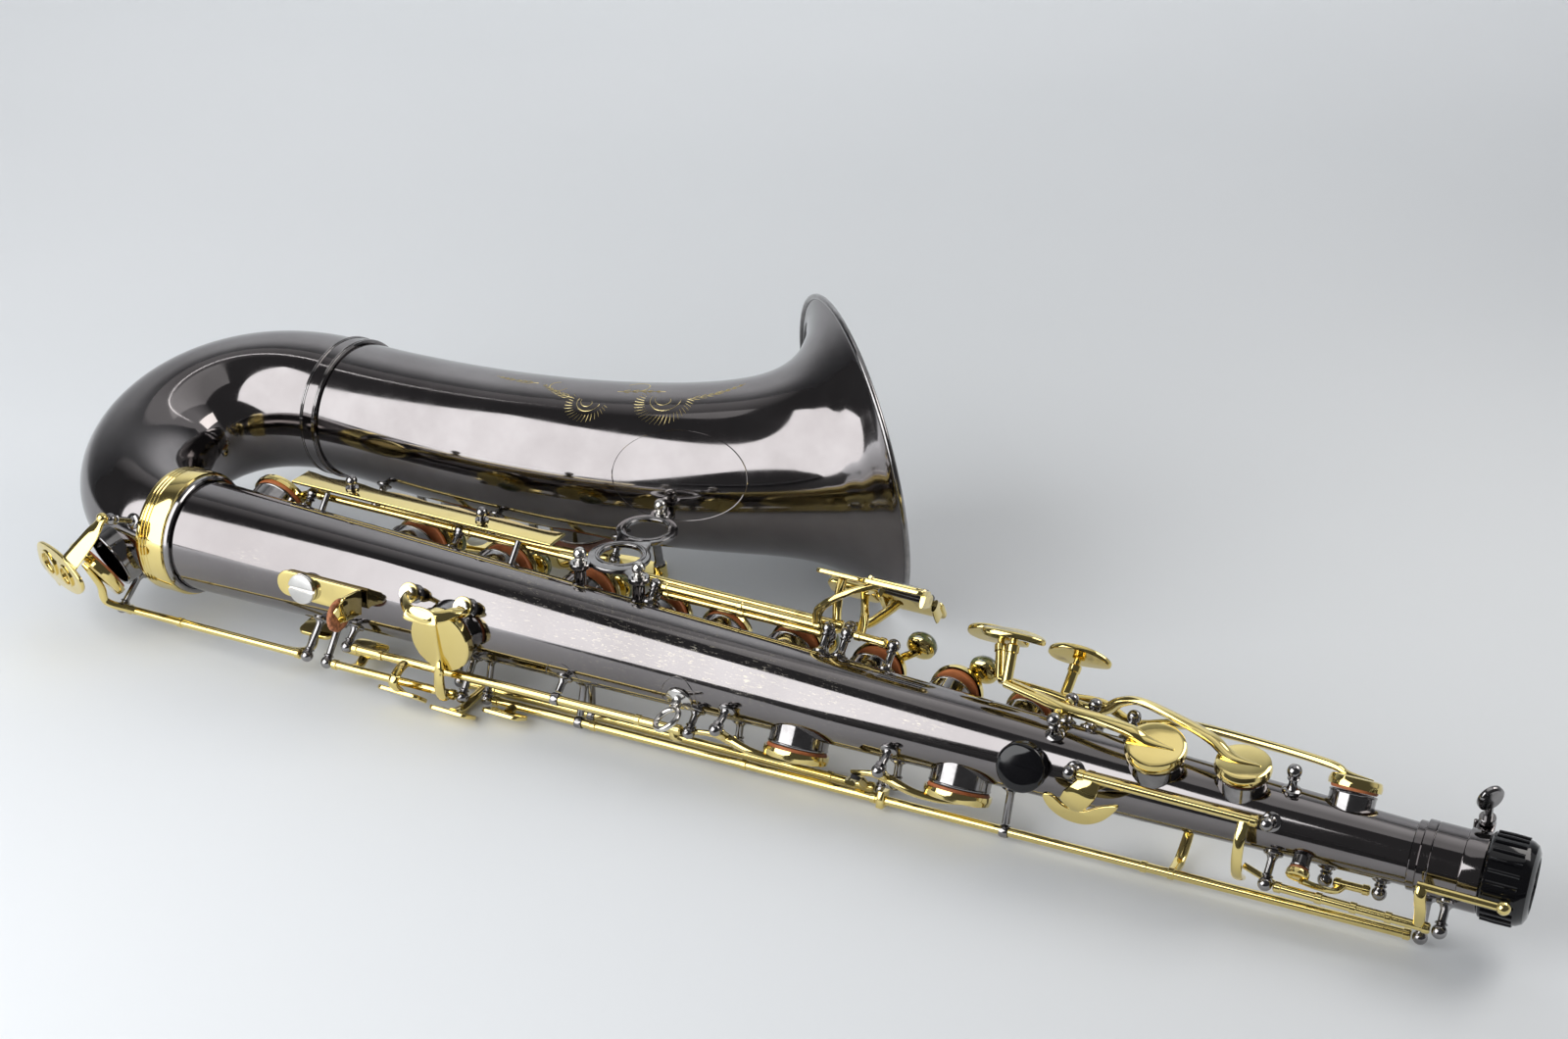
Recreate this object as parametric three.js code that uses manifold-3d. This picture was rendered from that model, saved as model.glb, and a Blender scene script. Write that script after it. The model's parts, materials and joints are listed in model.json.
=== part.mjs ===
// Tenor saxophone without its neck, lying on its right side.
// Millimetres. While the parts are drawn, +X runs along the body tube from the bow joint to the
// neck receiver, +Y from the player's side towards the bell, and +Z towards the player's left.
// Angles round a pipe start at +Z and grow towards the player's side (-Y), then the right (-Z).
import * as THREE from 'three';
import { mergeVertices } from 'three/addons/utils/BufferGeometryUtils.js';
import Module from 'manifold-3d';

const wasm = await Module();
wasm.setup();

// ---- driving dimensions -------------------------------------------------------------------
const TUBE_RADIUS = 28.5;      // body tube, outside, at the bow joint
const TUBE_TAPER = 0.0245;     // radius lost per mm of length
const TUBE_LENGTH = 624;       // bow joint to the foot of the neck receiver
const WALL = 1.2;
const GAP = 0.3;               // clearance between separate pieces
const RECEIVER_RADIUS = 15.6;
const RECEIVER_LENGTH = 28;
const BELL_START = new THREE.Vector2(20, 119.5);   // bell joint, centre of the pipe
const BELL_END = new THREE.Vector2(298, 171);      // centre of the rim
const BELL_START_TILT = -2.9;  // degrees from +X
const BELL_END_TILT = 43.8;
const BELL_RADIUS = 36.6;      // at the joint
const BELL_GAIN = 11;          // steady widening over the whole bell
const BELL_FLARE = 34;         // extra radius of the mouth
const FLARE_POWER = 18;        // how late the mouth opens
const BOW_SWELL = 4.3;         // extra radius halfway round the bow
const ROD_RADIUS = 2.1;        // long hinge tubes
const PAD_THICK = 2.6;
const CUP_THICK = 3.2;
const CHIMNEY_LIFT = 4.2;      // tone-hole lip above the crown of its pipe
const SEAT = CHIMNEY_LIFT + GAP;
const PIPE_FACETS = 20;
const ROUND = 12;              // facets round cups and tone holes

const RESTING_ROLL = 12.54;     // degrees about +X, bell side up
const RESTING_PITCH = 1.44;     // degrees about +Y

// ---- materials ----------------------------------------------------------------------------
const metal = (color, roughness) => new THREE.MeshStandardMaterial({ color, roughness, metalness: 1 });
const dull = (color, roughness) => new THREE.MeshStandardMaterial({ color, roughness, metalness: 0 });
const BLACK_NICKEL = metal(0x4a4749, 0.14);
const NICKEL = metal(0xa6a3a0, 0.2);
const BRASS = metal(0xd9b45c, 0.22);
const LEATHER = dull(0xa9532c, 0.6);
const PLASTIC = dull(0x111113, 0.35);

// ---- solids -------------------------------------------------------------------------------
function signedVolume(position, index) {
  const [a, b, c] = [new THREE.Vector3(), new THREE.Vector3(), new THREE.Vector3()];
  let total = 0;
  for (let i = 0; i < index.length; i += 3) {
    a.fromBufferAttribute(position, index[i]);
    b.fromBufferAttribute(position, index[i + 1]);
    c.fromBufferAttribute(position, index[i + 2]);
    total += a.dot(b.cross(c));
  }
  return total;
}

// closed geometry -> manifold solid, placed by a matrix
function solid(geometry, matrix = new THREE.Matrix4()) {
  const bare = geometry.clone();
  for (const name of Object.keys(bare.attributes)) {
    if (name !== 'position') bare.deleteAttribute(name);
  }
  bare.applyMatrix4(matrix);
  const welded = mergeVertices(bare, 1e-4);
  const index = [];
  const source = welded.index.array;
  for (let i = 0; i < source.length; i += 3) {
    const [a, b, c] = [source[i], source[i + 1], source[i + 2]];
    if (a !== b && b !== c && a !== c) index.push(a, b, c);
  }
  if (signedVolume(welded.attributes.position, index) < 0) index.reverse();
  return new wasm.Manifold(new wasm.Mesh({
    numProp: 3,
    vertProperties: new Float32Array(welded.attributes.position.array),
    triVerts: new Uint32Array(index),
  }));
}

const union = (parts) => parts.reduce((whole, part) => whole.add(part));
const cut = (whole, tools) => tools.reduce((rest, tool) => rest.subtract(tool), whole);

function turned(profile, segments = 12) {
  const outline = profile.map(([radius, height]) => new THREE.Vector2(radius, height));
  return new THREE.LatheGeometry(outline, segments).rotateX(Math.PI / 2);
}

function towards(origin, direction) {
  const turn = new THREE.Quaternion();
  turn.setFromUnitVectors(new THREE.Vector3(0, 0, 1), direction.clone().normalize());
  return new THREE.Matrix4().compose(origin, turn, new THREE.Vector3(1, 1, 1));
}

const vec = (x, y, z) => new THREE.Vector3(x, y, z);
const radians = THREE.MathUtils.degToRad;

function rod(from, to, radius, segments = 6) {
  const axis = to.clone().sub(from);
  const profile = [[0, 0], [radius, 0], [radius, axis.length()], [0, axis.length()]];
  return solid(turned(profile, segments), towards(from, axis));
}

function box(size, matrix) {
  return solid(new THREE.BoxGeometry(...size), matrix);
}

const ball = (centre, radius) => solid(new THREE.SphereGeometry(radius, 10, 6).rotateX(Math.PI / 2),
  new THREE.Matrix4().setPosition(centre));

function plate(outline, thickness, matrix, holes = []) {
  const shape = new THREE.Shape(outline.map(([x, y]) => new THREE.Vector2(x, y)));
  for (const hole of holes) shape.holes.push(hole);
  const geometry = new THREE.ExtrudeGeometry(shape, { depth: thickness, bevelEnabled: false, curveSegments: 6 });
  return solid(geometry.translate(0, 0, -thickness / 2), matrix);
}

function roundHole(x, y, radius) {
  const hole = new THREE.Path();
  hole.absarc(x, y, radius, 0, 2 * Math.PI, true);
  return hole;
}

// round arm along points
function arm(points, radius, segments = 4) {
  const section = new THREE.Shape();
  section.absarc(0, 0, radius, 0, 2 * Math.PI, false);
  const path = new THREE.CatmullRomCurve3(points, false, 'catmullrom', 0.5);
  return solid(new THREE.ExtrudeGeometry(section, {
    steps: Math.max(2, Math.round(points.length * 1.4) - 1),
    curveSegments: segments / 2,
    extrudePath: path,
  }));
}

// ---- pipes: place, direction and radius along each one ----------------------------------------
class Curved {
  constructor(start, startTilt, startPull, end, endTilt, endPull, radius) {
    const lead = (tilt, pull) => new THREE.Vector2(Math.cos(radians(tilt)), Math.sin(radians(tilt)))
      .multiplyScalar(pull);
    this.curve = new THREE.CubicBezierCurve(start, start.clone().add(lead(startTilt, startPull)),
      end.clone().sub(lead(endTilt, endPull)), end);
    this.radius = radius;
  }

  at(u) {
    return { centre: this.curve.getPointAt(u), along: this.curve.getTangentAt(u), radius: this.radius(u) };
  }
}

const tube = {
  at: (x) => ({
    centre: new THREE.Vector2(x, 0),
    along: new THREE.Vector2(1, 0),
    radius: TUBE_RADIUS - TUBE_TAPER * x,
  }),
};
const bellPipe = new Curved(BELL_START, BELL_START_TILT, 30, BELL_END, BELL_END_TILT, 95,
  (u) => BELL_RADIUS + BELL_GAIN * u ** 1.6 + BELL_FLARE * u ** FLARE_POWER);
// drawn from the bell joint back to the body joint, so that it runs the same way as the body tube
const bowPipe = new Curved(BELL_START, 180 + BELL_START_TILT, 111, new THREE.Vector2(0, 0), 0, 75,
  (u) => BELL_RADIUS + (TUBE_RADIUS - BELL_RADIUS) * u + 4 * BOW_SWELL * u * (1 - u));

// outward direction at an angle round a pipe
function outward(pipe, station, angle) {
  const { along } = pipe.at(station);
  const side = vec(along.y, -along.x, 0);
  return vec(0, 0, Math.cos(radians(angle))).add(side.multiplyScalar(Math.sin(radians(angle))));
}

function on(pipe, station, angle, height) {
  const { centre, radius } = pipe.at(station);
  return vec(centre.x, centre.y, 0).add(outward(pipe, station, angle).multiplyScalar(radius + height));
}

// local X along the pipe, local Z outward
function frameOn(pipe, station, angle, height) {
  const { along } = pipe.at(station);
  const x = vec(along.x, along.y, 0);
  const z = outward(pipe, station, angle);
  return new THREE.Matrix4().makeBasis(x, z.clone().cross(x), z).setPosition(on(pipe, station, angle, height));
}

// rings of points round a pipe; depth is measured inwards from its outside
function ringPoints(pipe, stations, segments) {
  const points = [];
  for (const [u, depth] of stations) {
    const { centre, along, radius } = pipe.at(u);
    for (let k = 0; k < segments; k += 1) {
      const turn = (2 * Math.PI * k) / segments;
      const reach = (radius - depth) * Math.sin(turn);
      points.push(centre.x + along.y * reach, centre.y - along.x * reach, (radius - depth) * Math.cos(turn));
    }
  }
  return points;
}

// triangles that join ring after ring
function ringIndex(ringCount, segments, closed) {
  const index = [];
  for (let r = 0; r < ringCount - (closed ? 0 : 1); r += 1) {
    const here = r * segments;
    const next = ((r + 1) % ringCount) * segments;
    for (let k = 0; k < segments; k += 1) {
      const other = (k + 1) % segments;
      index.push(here + k, here + other, next + k, here + other, next + other, next + k);
    }
  }
  return index;
}

function ringSolid(points, index) {
  const geometry = new THREE.BufferGeometry();
  geometry.setAttribute('position', new THREE.Float32BufferAttribute(points, 3));
  geometry.setIndex(index);
  return solid(geometry);
}

// pipe wall, open at both ends
function hollow(pipe, stations, segments) {
  const rings = [...stations.map((u) => [u, 0]), ...stations.toReversed().map((u) => [u, WALL])];
  return ringSolid(ringPoints(pipe, rings, segments), ringIndex(rings.length, segments, true));
}

// everything inside a pipe, down to a depth below its outside
function filled(pipe, stations, segments, depth) {
  const points = ringPoints(pipe, stations.map((u) => [u, depth]), segments);
  const index = ringIndex(stations.length, segments, false);
  const last = (stations.length - 1) * segments;
  for (let k = 1; k < segments - 1; k += 1) {
    index.push(0, k + 1, k, last, last + k, last + k + 1);
  }
  return ringSolid(points, index);
}

const steps = (from, to, count, power = 1) => Array.from({ length: count + 1 },
  (_, i) => from + (to - from) * (1 - (1 - i / count) ** power));

// ---- scene --------------------------------------------------------------------------------
const saxophone = new THREE.Group();
saxophone.name = 'saxophone';

function addPart(name, manifold, material, hinge = null) {
  const { vertProperties, triVerts, numProp } = manifold.getMesh();
  const geometry = new THREE.BufferGeometry();
  const position = [];
  for (let i = 0; i < vertProperties.length; i += numProp) {
    position.push(vertProperties[i], vertProperties[i + 1], vertProperties[i + 2]);
  }
  geometry.setAttribute('position', new THREE.Float32BufferAttribute(position, 3));
  geometry.setIndex([...triVerts]);
  const mesh = new THREE.Mesh(geometry, material);
  mesh.name = name;
  if (hinge) mesh.userData.hinge = { point: hinge.from.toArray(), axis: hinge.axis.toArray() };
  saxophone.add(mesh);
  return mesh;
}

// ---- posts, hinges, cups ------------------------------------------------------------------
const POST_BALL = 3.1;

function post(pipe, station, angle, height, stem = 1.8) {
  const foot = pipe === tube ? -0.7 : -2;
  const profile = [[0, foot], [stem + 0.8, foot], [stem, height - 2.4], [POST_BALL, height], [0, height + POST_BALL]];
  return solid(turned(profile, 6), frameOn(pipe, station, angle, 0));
}

// a hinge runs between two post heads; its barrel stops short of both
function hingeBetween(from, to, clear = POST_BALL + GAP + 0.1) {
  const axis = to.clone().sub(from);
  const length = axis.length();
  axis.normalize();
  const along = (distance) => from.clone().addScaledVector(axis, distance);
  return { from, to, axis, along, start: along(clear), end: along(length - clear) };
}

const barrel = (hinge, radius = ROD_RADIUS, start = hinge.start, end = hinge.end) => rod(start, end, radius);

// turn a mesh about a hinge line
function turnAbout(mesh, hinge, degrees) {
  mesh.applyMatrix4(new THREE.Matrix4().makeTranslation(...hinge.from.clone().negate().toArray()));
  mesh.applyMatrix4(new THREE.Matrix4().makeRotationAxis(hinge.axis, radians(degrees)));
  mesh.applyMatrix4(new THREE.Matrix4().makeTranslation(...hinge.from.toArray()));
}

// key cup, its rim resting on the pad; local Z outward, base at the pad's seat
function cup(matrix, radius, seat = SEAT) {
  const base = seat + PAD_THICK + GAP;
  const profile = [[0, base], [radius, base], [radius, base + 1.4], [radius - 1.6, seat + PAD_THICK + CUP_THICK],
    [0, seat + PAD_THICK + CUP_THICK]];
  return solid(turned(profile, ROUND), matrix);
}

function pad(matrix, radius, seat = SEAT) {
  const profile = [[0, seat], [radius - 0.8, seat], [radius - 0.8, seat + PAD_THICK], [0, seat + PAD_THICK]];
  return solid(turned(profile, ROUND), matrix);
}

const cupTop = SEAT + PAD_THICK + CUP_THICK;

// tapering rib that lies over a cup and carries it
function ridge(matrix, from, to, width = 4) {
  const outline = [[from[0], from[1]], [to[0], to[1]]];
  const dx = outline[1][0] - outline[0][0];
  const dy = outline[1][1] - outline[0][1];
  const length = Math.hypot(dx, dy);
  const place = matrix.clone()
    .multiply(new THREE.Matrix4().makeTranslation(from[0], from[1], cupTop + 0.6))
    .multiply(new THREE.Matrix4().makeRotationZ(Math.atan2(dy, dx)));
  return plate([[0, -width / 2], [length, -0.8], [length, 0.8], [0, width / 2]], 2.6, place);
}

const chimneys = { tube: [], bell: [], bow: [] };
const bores = { tube: [], bell: [], bow: [] };
const posts = { tube: [], bell: [], bow: [], receiver: [] };

function toneHole(owner, pipe, station, angle, radius) {
  const frame = frameOn(pipe, station, angle, 0);
  const foot = -radius * 0.6;
  const bore = radius - WALL;
  const wall = [[0, foot], [radius, foot], [radius, CHIMNEY_LIFT], [0, CHIMNEY_LIFT]];
  const hole = [[0, foot - 10], [bore, foot - 10], [bore, CHIMNEY_LIFT + 5], [0, CHIMNEY_LIFT + 5]];
  chimneys[owner].push(solid(turned(wall, ROUND), frame));
  bores[owner].push(solid(turned(hole, ROUND), frame));
  return frame;
}

function addPost(owner, pipe, station, angle, height) {
  posts[owner].push(post(pipe, station, angle, height));
  return on(pipe, station, angle, height);
}

const tubePost = (x, angle, height) => addPost('tube', tube, x, angle, height);
const onTube = (x, angle, height) => on(tube, x, angle, height);
const heightFor = (x, distance) => distance - tube.at(x).radius;

// ==== keys on the lower body ===============================================================
const CUP_LAP = 1.6;           // cup rim beyond its tone hole

function shutKey(name, hinge, pieces, padSolid = null) {
  addPart(name, union(pieces), BRASS, hinge);
  if (padSolid) addPart(name.replace('_key', '_pad').replace('_cup', '_pad'), padSolid, LEATHER);
}

function openStandingKey(name, hinge, pieces, padSolid, openBy) {
  turnAbout(addPart(name, union(pieces), BRASS, hinge), hinge, openBy);
  if (padSolid) turnAbout(addPart(name.replace('_key', '_pad'), padSolid, LEATHER), hinge, openBy);
}

function touchPlate(frame, length, width, thickness = 2.2) {
  const [l, w, c] = [length / 2, width / 2, Math.min(length, width) * 0.28];
  const outline = [[-l + c, -w], [l - c, -w], [l, -w + c], [l, w - c], [l - c, w], [-l + c, w],
    [-l, w - c], [-l, -w + c]];
  return plate(outline, thickness, frame);
}

// low C: the cup is on the bow, its hinge runs along the body
const LOW_C_HOLE = 16;
const lowCHinge = hingeBetween(addPost('bow', bowPipe, 0.925, 127, 19.5), tubePost(96, 122, 19.5));
const lowCSeat = toneHole('bow', bowPipe, 0.905, 97, LOW_C_HOLE);
openStandingKey('low_c_key', lowCHinge, [
  barrel(lowCHinge),
  cup(lowCSeat, LOW_C_HOLE + CUP_LAP),
  ridge(lowCSeat, [16, -6], [-10, 2], 5),
  arm([lowCHinge.along(9), on(bowPipe, 0.92, 116, 19), on(bowPipe, 0.915, 106, 13), on(bowPipe, 0.91, 100, 11)],
    2.4),
  arm([lowCHinge.along(88), onTube(84, 140, 20), onTube(82, 156, 14.6)], 2.2),
  touchPlate(frameOn(tube, 82, 162, 14.5), 18, 15),
], pad(lowCSeat, LOW_C_HOLE + CUP_LAP), 11);

// low E flat: a large flat cup that faces the player
const LOW_EB_HOLE = 14.6;
const lowEbHinge = hingeBetween(tubePost(105, 128, 19.8), tubePost(184, 128, 19.8));
const lowEbSeat = toneHole('tube', tube, 178, 80, LOW_EB_HOLE);
shutKey('low_eb_key', lowEbHinge, [
  barrel(lowEbHinge),
  cup(lowEbSeat, LOW_EB_HOLE + CUP_LAP),
  ridge(lowEbSeat, [-1, -16], [-1, 13], 4.5),
  arm([lowEbHinge.along(71), onTube(177, 121, 22.5), onTube(178, 110, 19.5), onTube(178, 101, 15)], 2.2),
  arm([lowEbHinge.along(10), onTube(114, 146, 19), onTube(112, 158, 14.6)], 2.2),
  touchPlate(frameOn(tube, 110, 163, 14.5), 18, 15),
], pad(lowEbSeat, LOW_EB_HOLE + CUP_LAP));

// low C sharp: cup near the bow joint, worked by a long rod from the left-hand table
const LOW_CS_ANGLE = -64;
const LOW_CS_REACH = 35.4;     // rod to tube axis
const LOW_CS_HOLE = 14;
const csPost = (x) => tubePost(x, LOW_CS_ANGLE, heightFor(x, LOW_CS_REACH));
const lowCsHinge = hingeBetween(csPost(60), csPost(362));
csPost(150);
const lowCsSeat = toneHole('tube', tube, 34, -86, LOW_CS_HOLE);
shutKey('low_cs_key', lowCsHinge, [
  barrel(lowCsHinge, 1.9),
  cup(lowCsSeat, LOW_CS_HOLE + CUP_LAP),
  ridge(lowCsSeat, [16, 8], [-8, -2], 4.5),
  arm([lowCsHinge.along(10), onTube(60, -72, 13.5), onTube(44, -82, 11.6)], 2),
  arm([lowCsHinge.along(295), onTube(354, -57, 24), onTube(356, -48, 34.6)], 1.8),
  touchPlate(frameOn(tube, 357, -46, 35), 25, 15),
], pad(lowCsSeat, LOW_CS_HOLE + CUP_LAP));

// ==== left-hand little-finger table ==========================================================
const TABLE_HEIGHT = 37;
const TABLE_STATION = 385;

function tableTouch(name, angle, reach, touchAngle, rollerAngle, route) {
  const at = (x) => tubePost(x, angle, heightFor(x, reach));
  const hinge = hingeBetween(at(264), at(354));
  const lug = (x) => arm([onTube(x, touchAngle, TABLE_HEIGHT), onTube(x, rollerAngle, TABLE_HEIGHT)], 1.1, 4);
  addPart(name, union([
    barrel(hinge, 1.9),
    arm([hinge.along(84), ...route.map((point) => onTube(...point)),
      onTube(378, touchAngle, TABLE_HEIGHT - 0.6)], 1.8),
    touchPlate(frameOn(tube, TABLE_STATION, touchAngle, TABLE_HEIGHT), 29, 12),
    lug(TABLE_STATION - 13.2),
    lug(TABLE_STATION + 13.2),
  ]), BRASS, hinge);
  const ends = [-11.6, 11.6].map((shift) => onTube(TABLE_STATION + shift, rollerAngle, TABLE_HEIGHT));
  const rollerHinge = hingeBetween(ends[0], ends[1], 0);
  addPart(name.replace('_touch', '_roller'), rod(ends[0], ends[1], 2.6, 12), PLASTIC, rollerHinge);
}

tableTouch('low_b_touch', -56, 31.5, -40, -51, [[350, -44, 18], [358, -38, 25], [367, -37, 31]]);
tableTouch('low_bb_touch', -64, 29.5, -70, -59, [[350, -77, 14], [355, -81, 21], [363, -83, 27], [372, -76, 33]]);

const sharpTouchHinge = hingeBetween(tubePost(363, -58, 12), tubePost(386, -58, 12));
addPart('g_sharp_touch', union([
  barrel(sharpTouchHinge, 1.9),
  arm([sharpTouchHinge.along(6), onTube(367, -63, 22), onTube(362, -67, 33.5)], 1.8),
  touchPlate(frameOn(tube, 357, -67, 34), 25, 15),
]), BRASS, sharpTouchHinge);

// ==== finger stacks on the front of the body ================================================
const STACK_HINGE = 215;
const STACK_LIFT = 10;

function stackKey(name, from, to, station, angle, hole, openBy, pearl = null) {
  const hinge = hingeBetween(onTube(from, STACK_HINGE, STACK_LIFT), onTube(to, STACK_HINGE, STACK_LIFT));
  const seat = toneHole('tube', tube, station, angle, hole);
  const pieces = [
    barrel(hinge),
    cup(seat, hole + CUP_LAP),
    arm([onTube(station, STACK_HINGE, STACK_LIFT), onTube(station, STACK_HINGE + 14, 15),
      onTube(station, angle - 18, 14), onTube(station, angle, 11.6)], 2),
  ];
  if (pearl) {
    const [pearlStation, pearlAngle, pearlHeight] = pearl;
    pieces.push(arm([onTube(station, angle, 11.6), onTube((station + pearlStation) / 2, angle + 10, 13.5),
      onTube(pearlStation, pearlAngle, pearlHeight)], 1.8));
    pieces.push(solid(turned([[0, 0], [6, 0], [7.2, 2.4], [5, 4.8], [0, 5.6]], 10),
      frameOn(tube, pearlStation, pearlAngle, pearlHeight)));
  }
  openStandingKey(name, hinge, pieces, null, openBy);
}

const LOWER_POSTS = [93, 145, 197, 243, 284];
const UPPER_POSTS = [312, 354, 395, 433, 470];
for (const x of [...LOWER_POSTS, ...UPPER_POSTS]) tubePost(x, STACK_HINGE, STACK_LIFT);
const STACK_OPEN = -11;
stackKey('d_key', 93, 145, 119, 260, 15.5, STACK_OPEN, [128, 262, 17]);
stackKey('e_key', 145, 197, 171, 260, 15, STACK_OPEN, [180, 262, 17]);
stackKey('f_key', 197, 243, 220, 260, 14, STACK_OPEN, [228, 262, 17]);
stackKey('f_sharp_key', 243, 284, 262, 260, 12.5, STACK_OPEN);
stackKey('g_key', 312, 354, 333, 264, 12, STACK_OPEN, [342, 266, 15]);
stackKey('a_key', 354, 395, 375, 264, 12, STACK_OPEN, [392, 284, 15]);
stackKey('b_key', 395, 433, 414, 264, 11, STACK_OPEN, [424, 282, 12]);
stackKey('c_key', 433, 470, 450, 264, 10, STACK_OPEN);

const sharpHinge = hingeBetween(onTube(284, STACK_HINGE, STACK_LIFT), onTube(312, STACK_HINGE, STACK_LIFT));
const sharpSeat = toneHole('tube', tube, 298, 264, 11.5);
shutKey('g_sharp_key', sharpHinge, [
  barrel(sharpHinge),
  cup(sharpSeat, 11.5 + CUP_LAP),
  arm([onTube(298, STACK_HINGE, STACK_LIFT), onTube(298, STACK_HINGE + 14, 14.5), onTube(298, 248, 13.5),
    onTube(298, 264, 11.6)], 2),
]);

// ==== right-hand side keys ==================================================================
function sideTouch(angle, height, from, to, passing, touch, route, fork) {
  const hinge = hingeBetween(tubePost(from, angle, height), tubePost(to, angle, height));
  for (const x of passing) tubePost(x, angle, height);
  const [touchStation, touchAngle, touchLength, touchHeight] = touch;
  const pieces = [
    barrel(hinge),
    arm([onTube(touchStation, angle, height), ...route.map((point) => onTube(touchStation, ...point)),
      onTube(touchStation, touchAngle, touchHeight - 0.2)], 2),
    touchPlate(frameOn(tube, touchStation, touchAngle, touchHeight), touchLength, 13),
  ];
  pieces.push(arm(fork, 1.8));
  return { hinge, pieces };
}

const sideBb = sideTouch(117, 11, 118, 306, [236], [153, 126, 24, 25.6], [[112, 17], [113, 24]],
  [onTube(299, 117, 11), onTube(299, 121, 14), onTube(301, 125, 14.5)]);
addPart('side_bb_touch', union(sideBb.pieces), BRASS, sideBb.hinge);
const sideC = sideTouch(166, 20.9, 164, 392, [240], [179, 133, 22, 28], [[150, 23], [141, 26.4]],
  [onTube(384, 166, 20.9), onTube(384, 152, 13), onTube(384, 136, 13), onTube(386, 125, 14.5)]);
addPart('side_c_touch', union(sideC.pieces), BRASS, sideC.hinge);

function sideCup(name, pivot, station, hole, tip) {
  const hinge = hingeBetween(tubePost(pivot, 97, 11.5), tubePost(pivot, 151, 11.5));
  const seat = toneHole('tube', tube, station, 138, hole);
  shutKey(name, hinge, [
    barrel(hinge, 1.9),
    cup(seat, hole + CUP_LAP),
    arm([onTube(tip, 126, 9.5), onTube(pivot - 8, 125, 8), onTube(pivot, 124, 8.4), onTube(pivot + 12, 128, 11.4),
      onTube(station - 8, 134, 11.8), onTube(station, 138, 11.4)], 2),
  ], pad(seat, hole + CUP_LAP));
}

sideCup('side_bb_cup', 323, 355, 13.6, 303);
sideCup('side_c_cup', 402, 433, 13.6, 386);

// ==== high E, worked by the longest rod =====================================================
const receiverPipe = {
  at: (x) => ({ centre: new THREE.Vector2(x, 0), along: new THREE.Vector2(1, 0), radius: RECEIVER_RADIUS }),
};
const HIGH_E = { angle: 150, height: 20 };
const highETop = addPost('receiver', receiverPipe, 633, HIGH_E.angle, tube.at(633).radius + HIGH_E.height
  - RECEIVER_RADIUS);
const highEHinge = hingeBetween(tubePost(188, HIGH_E.angle, HIGH_E.height), highETop);
for (const x of [240, 455]) tubePost(x, HIGH_E.angle, HIGH_E.height);
const highESeat = toneHole('tube', tube, 530, 212, 10);
shutKey('high_e_key', highEHinge, [
  barrel(highEHinge),
  cup(highESeat, 10 + CUP_LAP),
  arm([onTube(530, HIGH_E.angle, HIGH_E.height), onTube(530, 170, 19), onTube(530, 195, 14),
    onTube(530, 212, 11.6)], 2),
  arm([onTube(204, HIGH_E.angle, HIGH_E.height), onTube(204, 143, 22.6)], 2),
  touchPlate(frameOn(tube, 204, 139, 23), 21, 13),
  box([3.2, 6, 8], frameOn(tube, 397, HIGH_E.angle, HIGH_E.height - 0.6)),
]);

// ==== palm keys =============================================================================
function palmKey(name, [first, second], seatAt, hole, armPoints, pillar, touch) {
  const hinge = hingeBetween(tubePost(...first), tubePost(...second));
  const seat = toneHole('tube', tube, ...seatAt, hole);
  shutKey(name, hinge, [
    barrel(hinge, 1.9),
    cup(seat, hole + CUP_LAP),
    arm(armPoints.map((point) => onTube(...point)), 2),
    arm(pillar.map((point) => onTube(...point)), 2.2),
    touchPlate(frameOn(tube, ...touch), 26, 15, 2),
  ], pad(seat, hole + CUP_LAP));
}

palmKey('palm_d_key', [[473, 6, 9.5], [473, -46, 9.5]], [517, 3], 11.4,
  [[446, -24, 11], [460, -20, 9.8], [473, -16, 8.4], [492, -5, 11.5], [506, 0, 12.4], [517, 3, 11.6]],
  [[446, -25, 11], [444, -36, 31]], [443, -38, 32]);
palmKey('palm_eb_key', [[483, -50, 10], [483, -88, 10]], [553, -6], 10.2,
  [[437, -63, 11], [460, -63, 10.6], [483, -62, 9.2], [493, -53, 14.5], [503, -45, 16.5], [522, -31, 14.5],
    [538, -17, 13], [553, -6, 11.6]],
  [[437, -63, 11], [431, -63, 31]], [430, -63, 32]);
palmKey('palm_f_key', [[500, -55, 10], [500, -92, 10]], [596, -45], 9.4,
  [[465, -77, 14], [483, -76, 15.5], [500, -73, 9.6], [522, -62, 13.5], [560, -53, 13.5], [585, -47, 12.6],
    [596, -45, 11.6]],
  [[465, -77, 14], [466, -70, 33]], [467, -68, 34]);

// ==== octave mechanism ======================================================================
const octaveHinge = hingeBetween(tubePost(486, 51, 9), tubePost(569, 51, 9));
addPart('octave_lever', union([
  barrel(octaveHinge),
  arm([octaveHinge.along(10), onTube(494, 64, 10.5), onTube(490, 76, 9.8), onTube(487, 84, 9)], 2.2),
  touchPlate(frameOn(tube, 487, 86, 8.6), 24, 13, 2),
  arm([onTube(560, 51, 9), onTube(560, 70, 11.5), onTube(560, 92, 13), onTube(560, 112, 13.5), onTube(560, 130, 12.4)], 2.2),
]), BRASS, octaveHinge);

const LINK_REACH = 27.5;         // octave link rod to tube axis
const linkHinge = hingeBetween(
  tubePost(571, 122, heightFor(571, LINK_REACH)),
  addPost('receiver', receiverPipe, 641, 120, LINK_REACH - RECEIVER_RADIUS),
);
addPart('octave_link', union([
  barrel(linkHinge),
  arm([linkHinge.along(9), onTube(573, 134, 11.5), onTube(560, 133, 7.4)], 1.9),
  arm([linkHinge.along(62), onTube(633, 100, 12), onTube(632, 84, 10.6), onTube(632, 74, 9)], 2),
  rod(onTube(630, 74, 8.6), onTube(662, 74, 9.4), 1.7),
  ball(onTube(663, 74, 9.4), 3),
]), BRASS, linkHinge);

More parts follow.
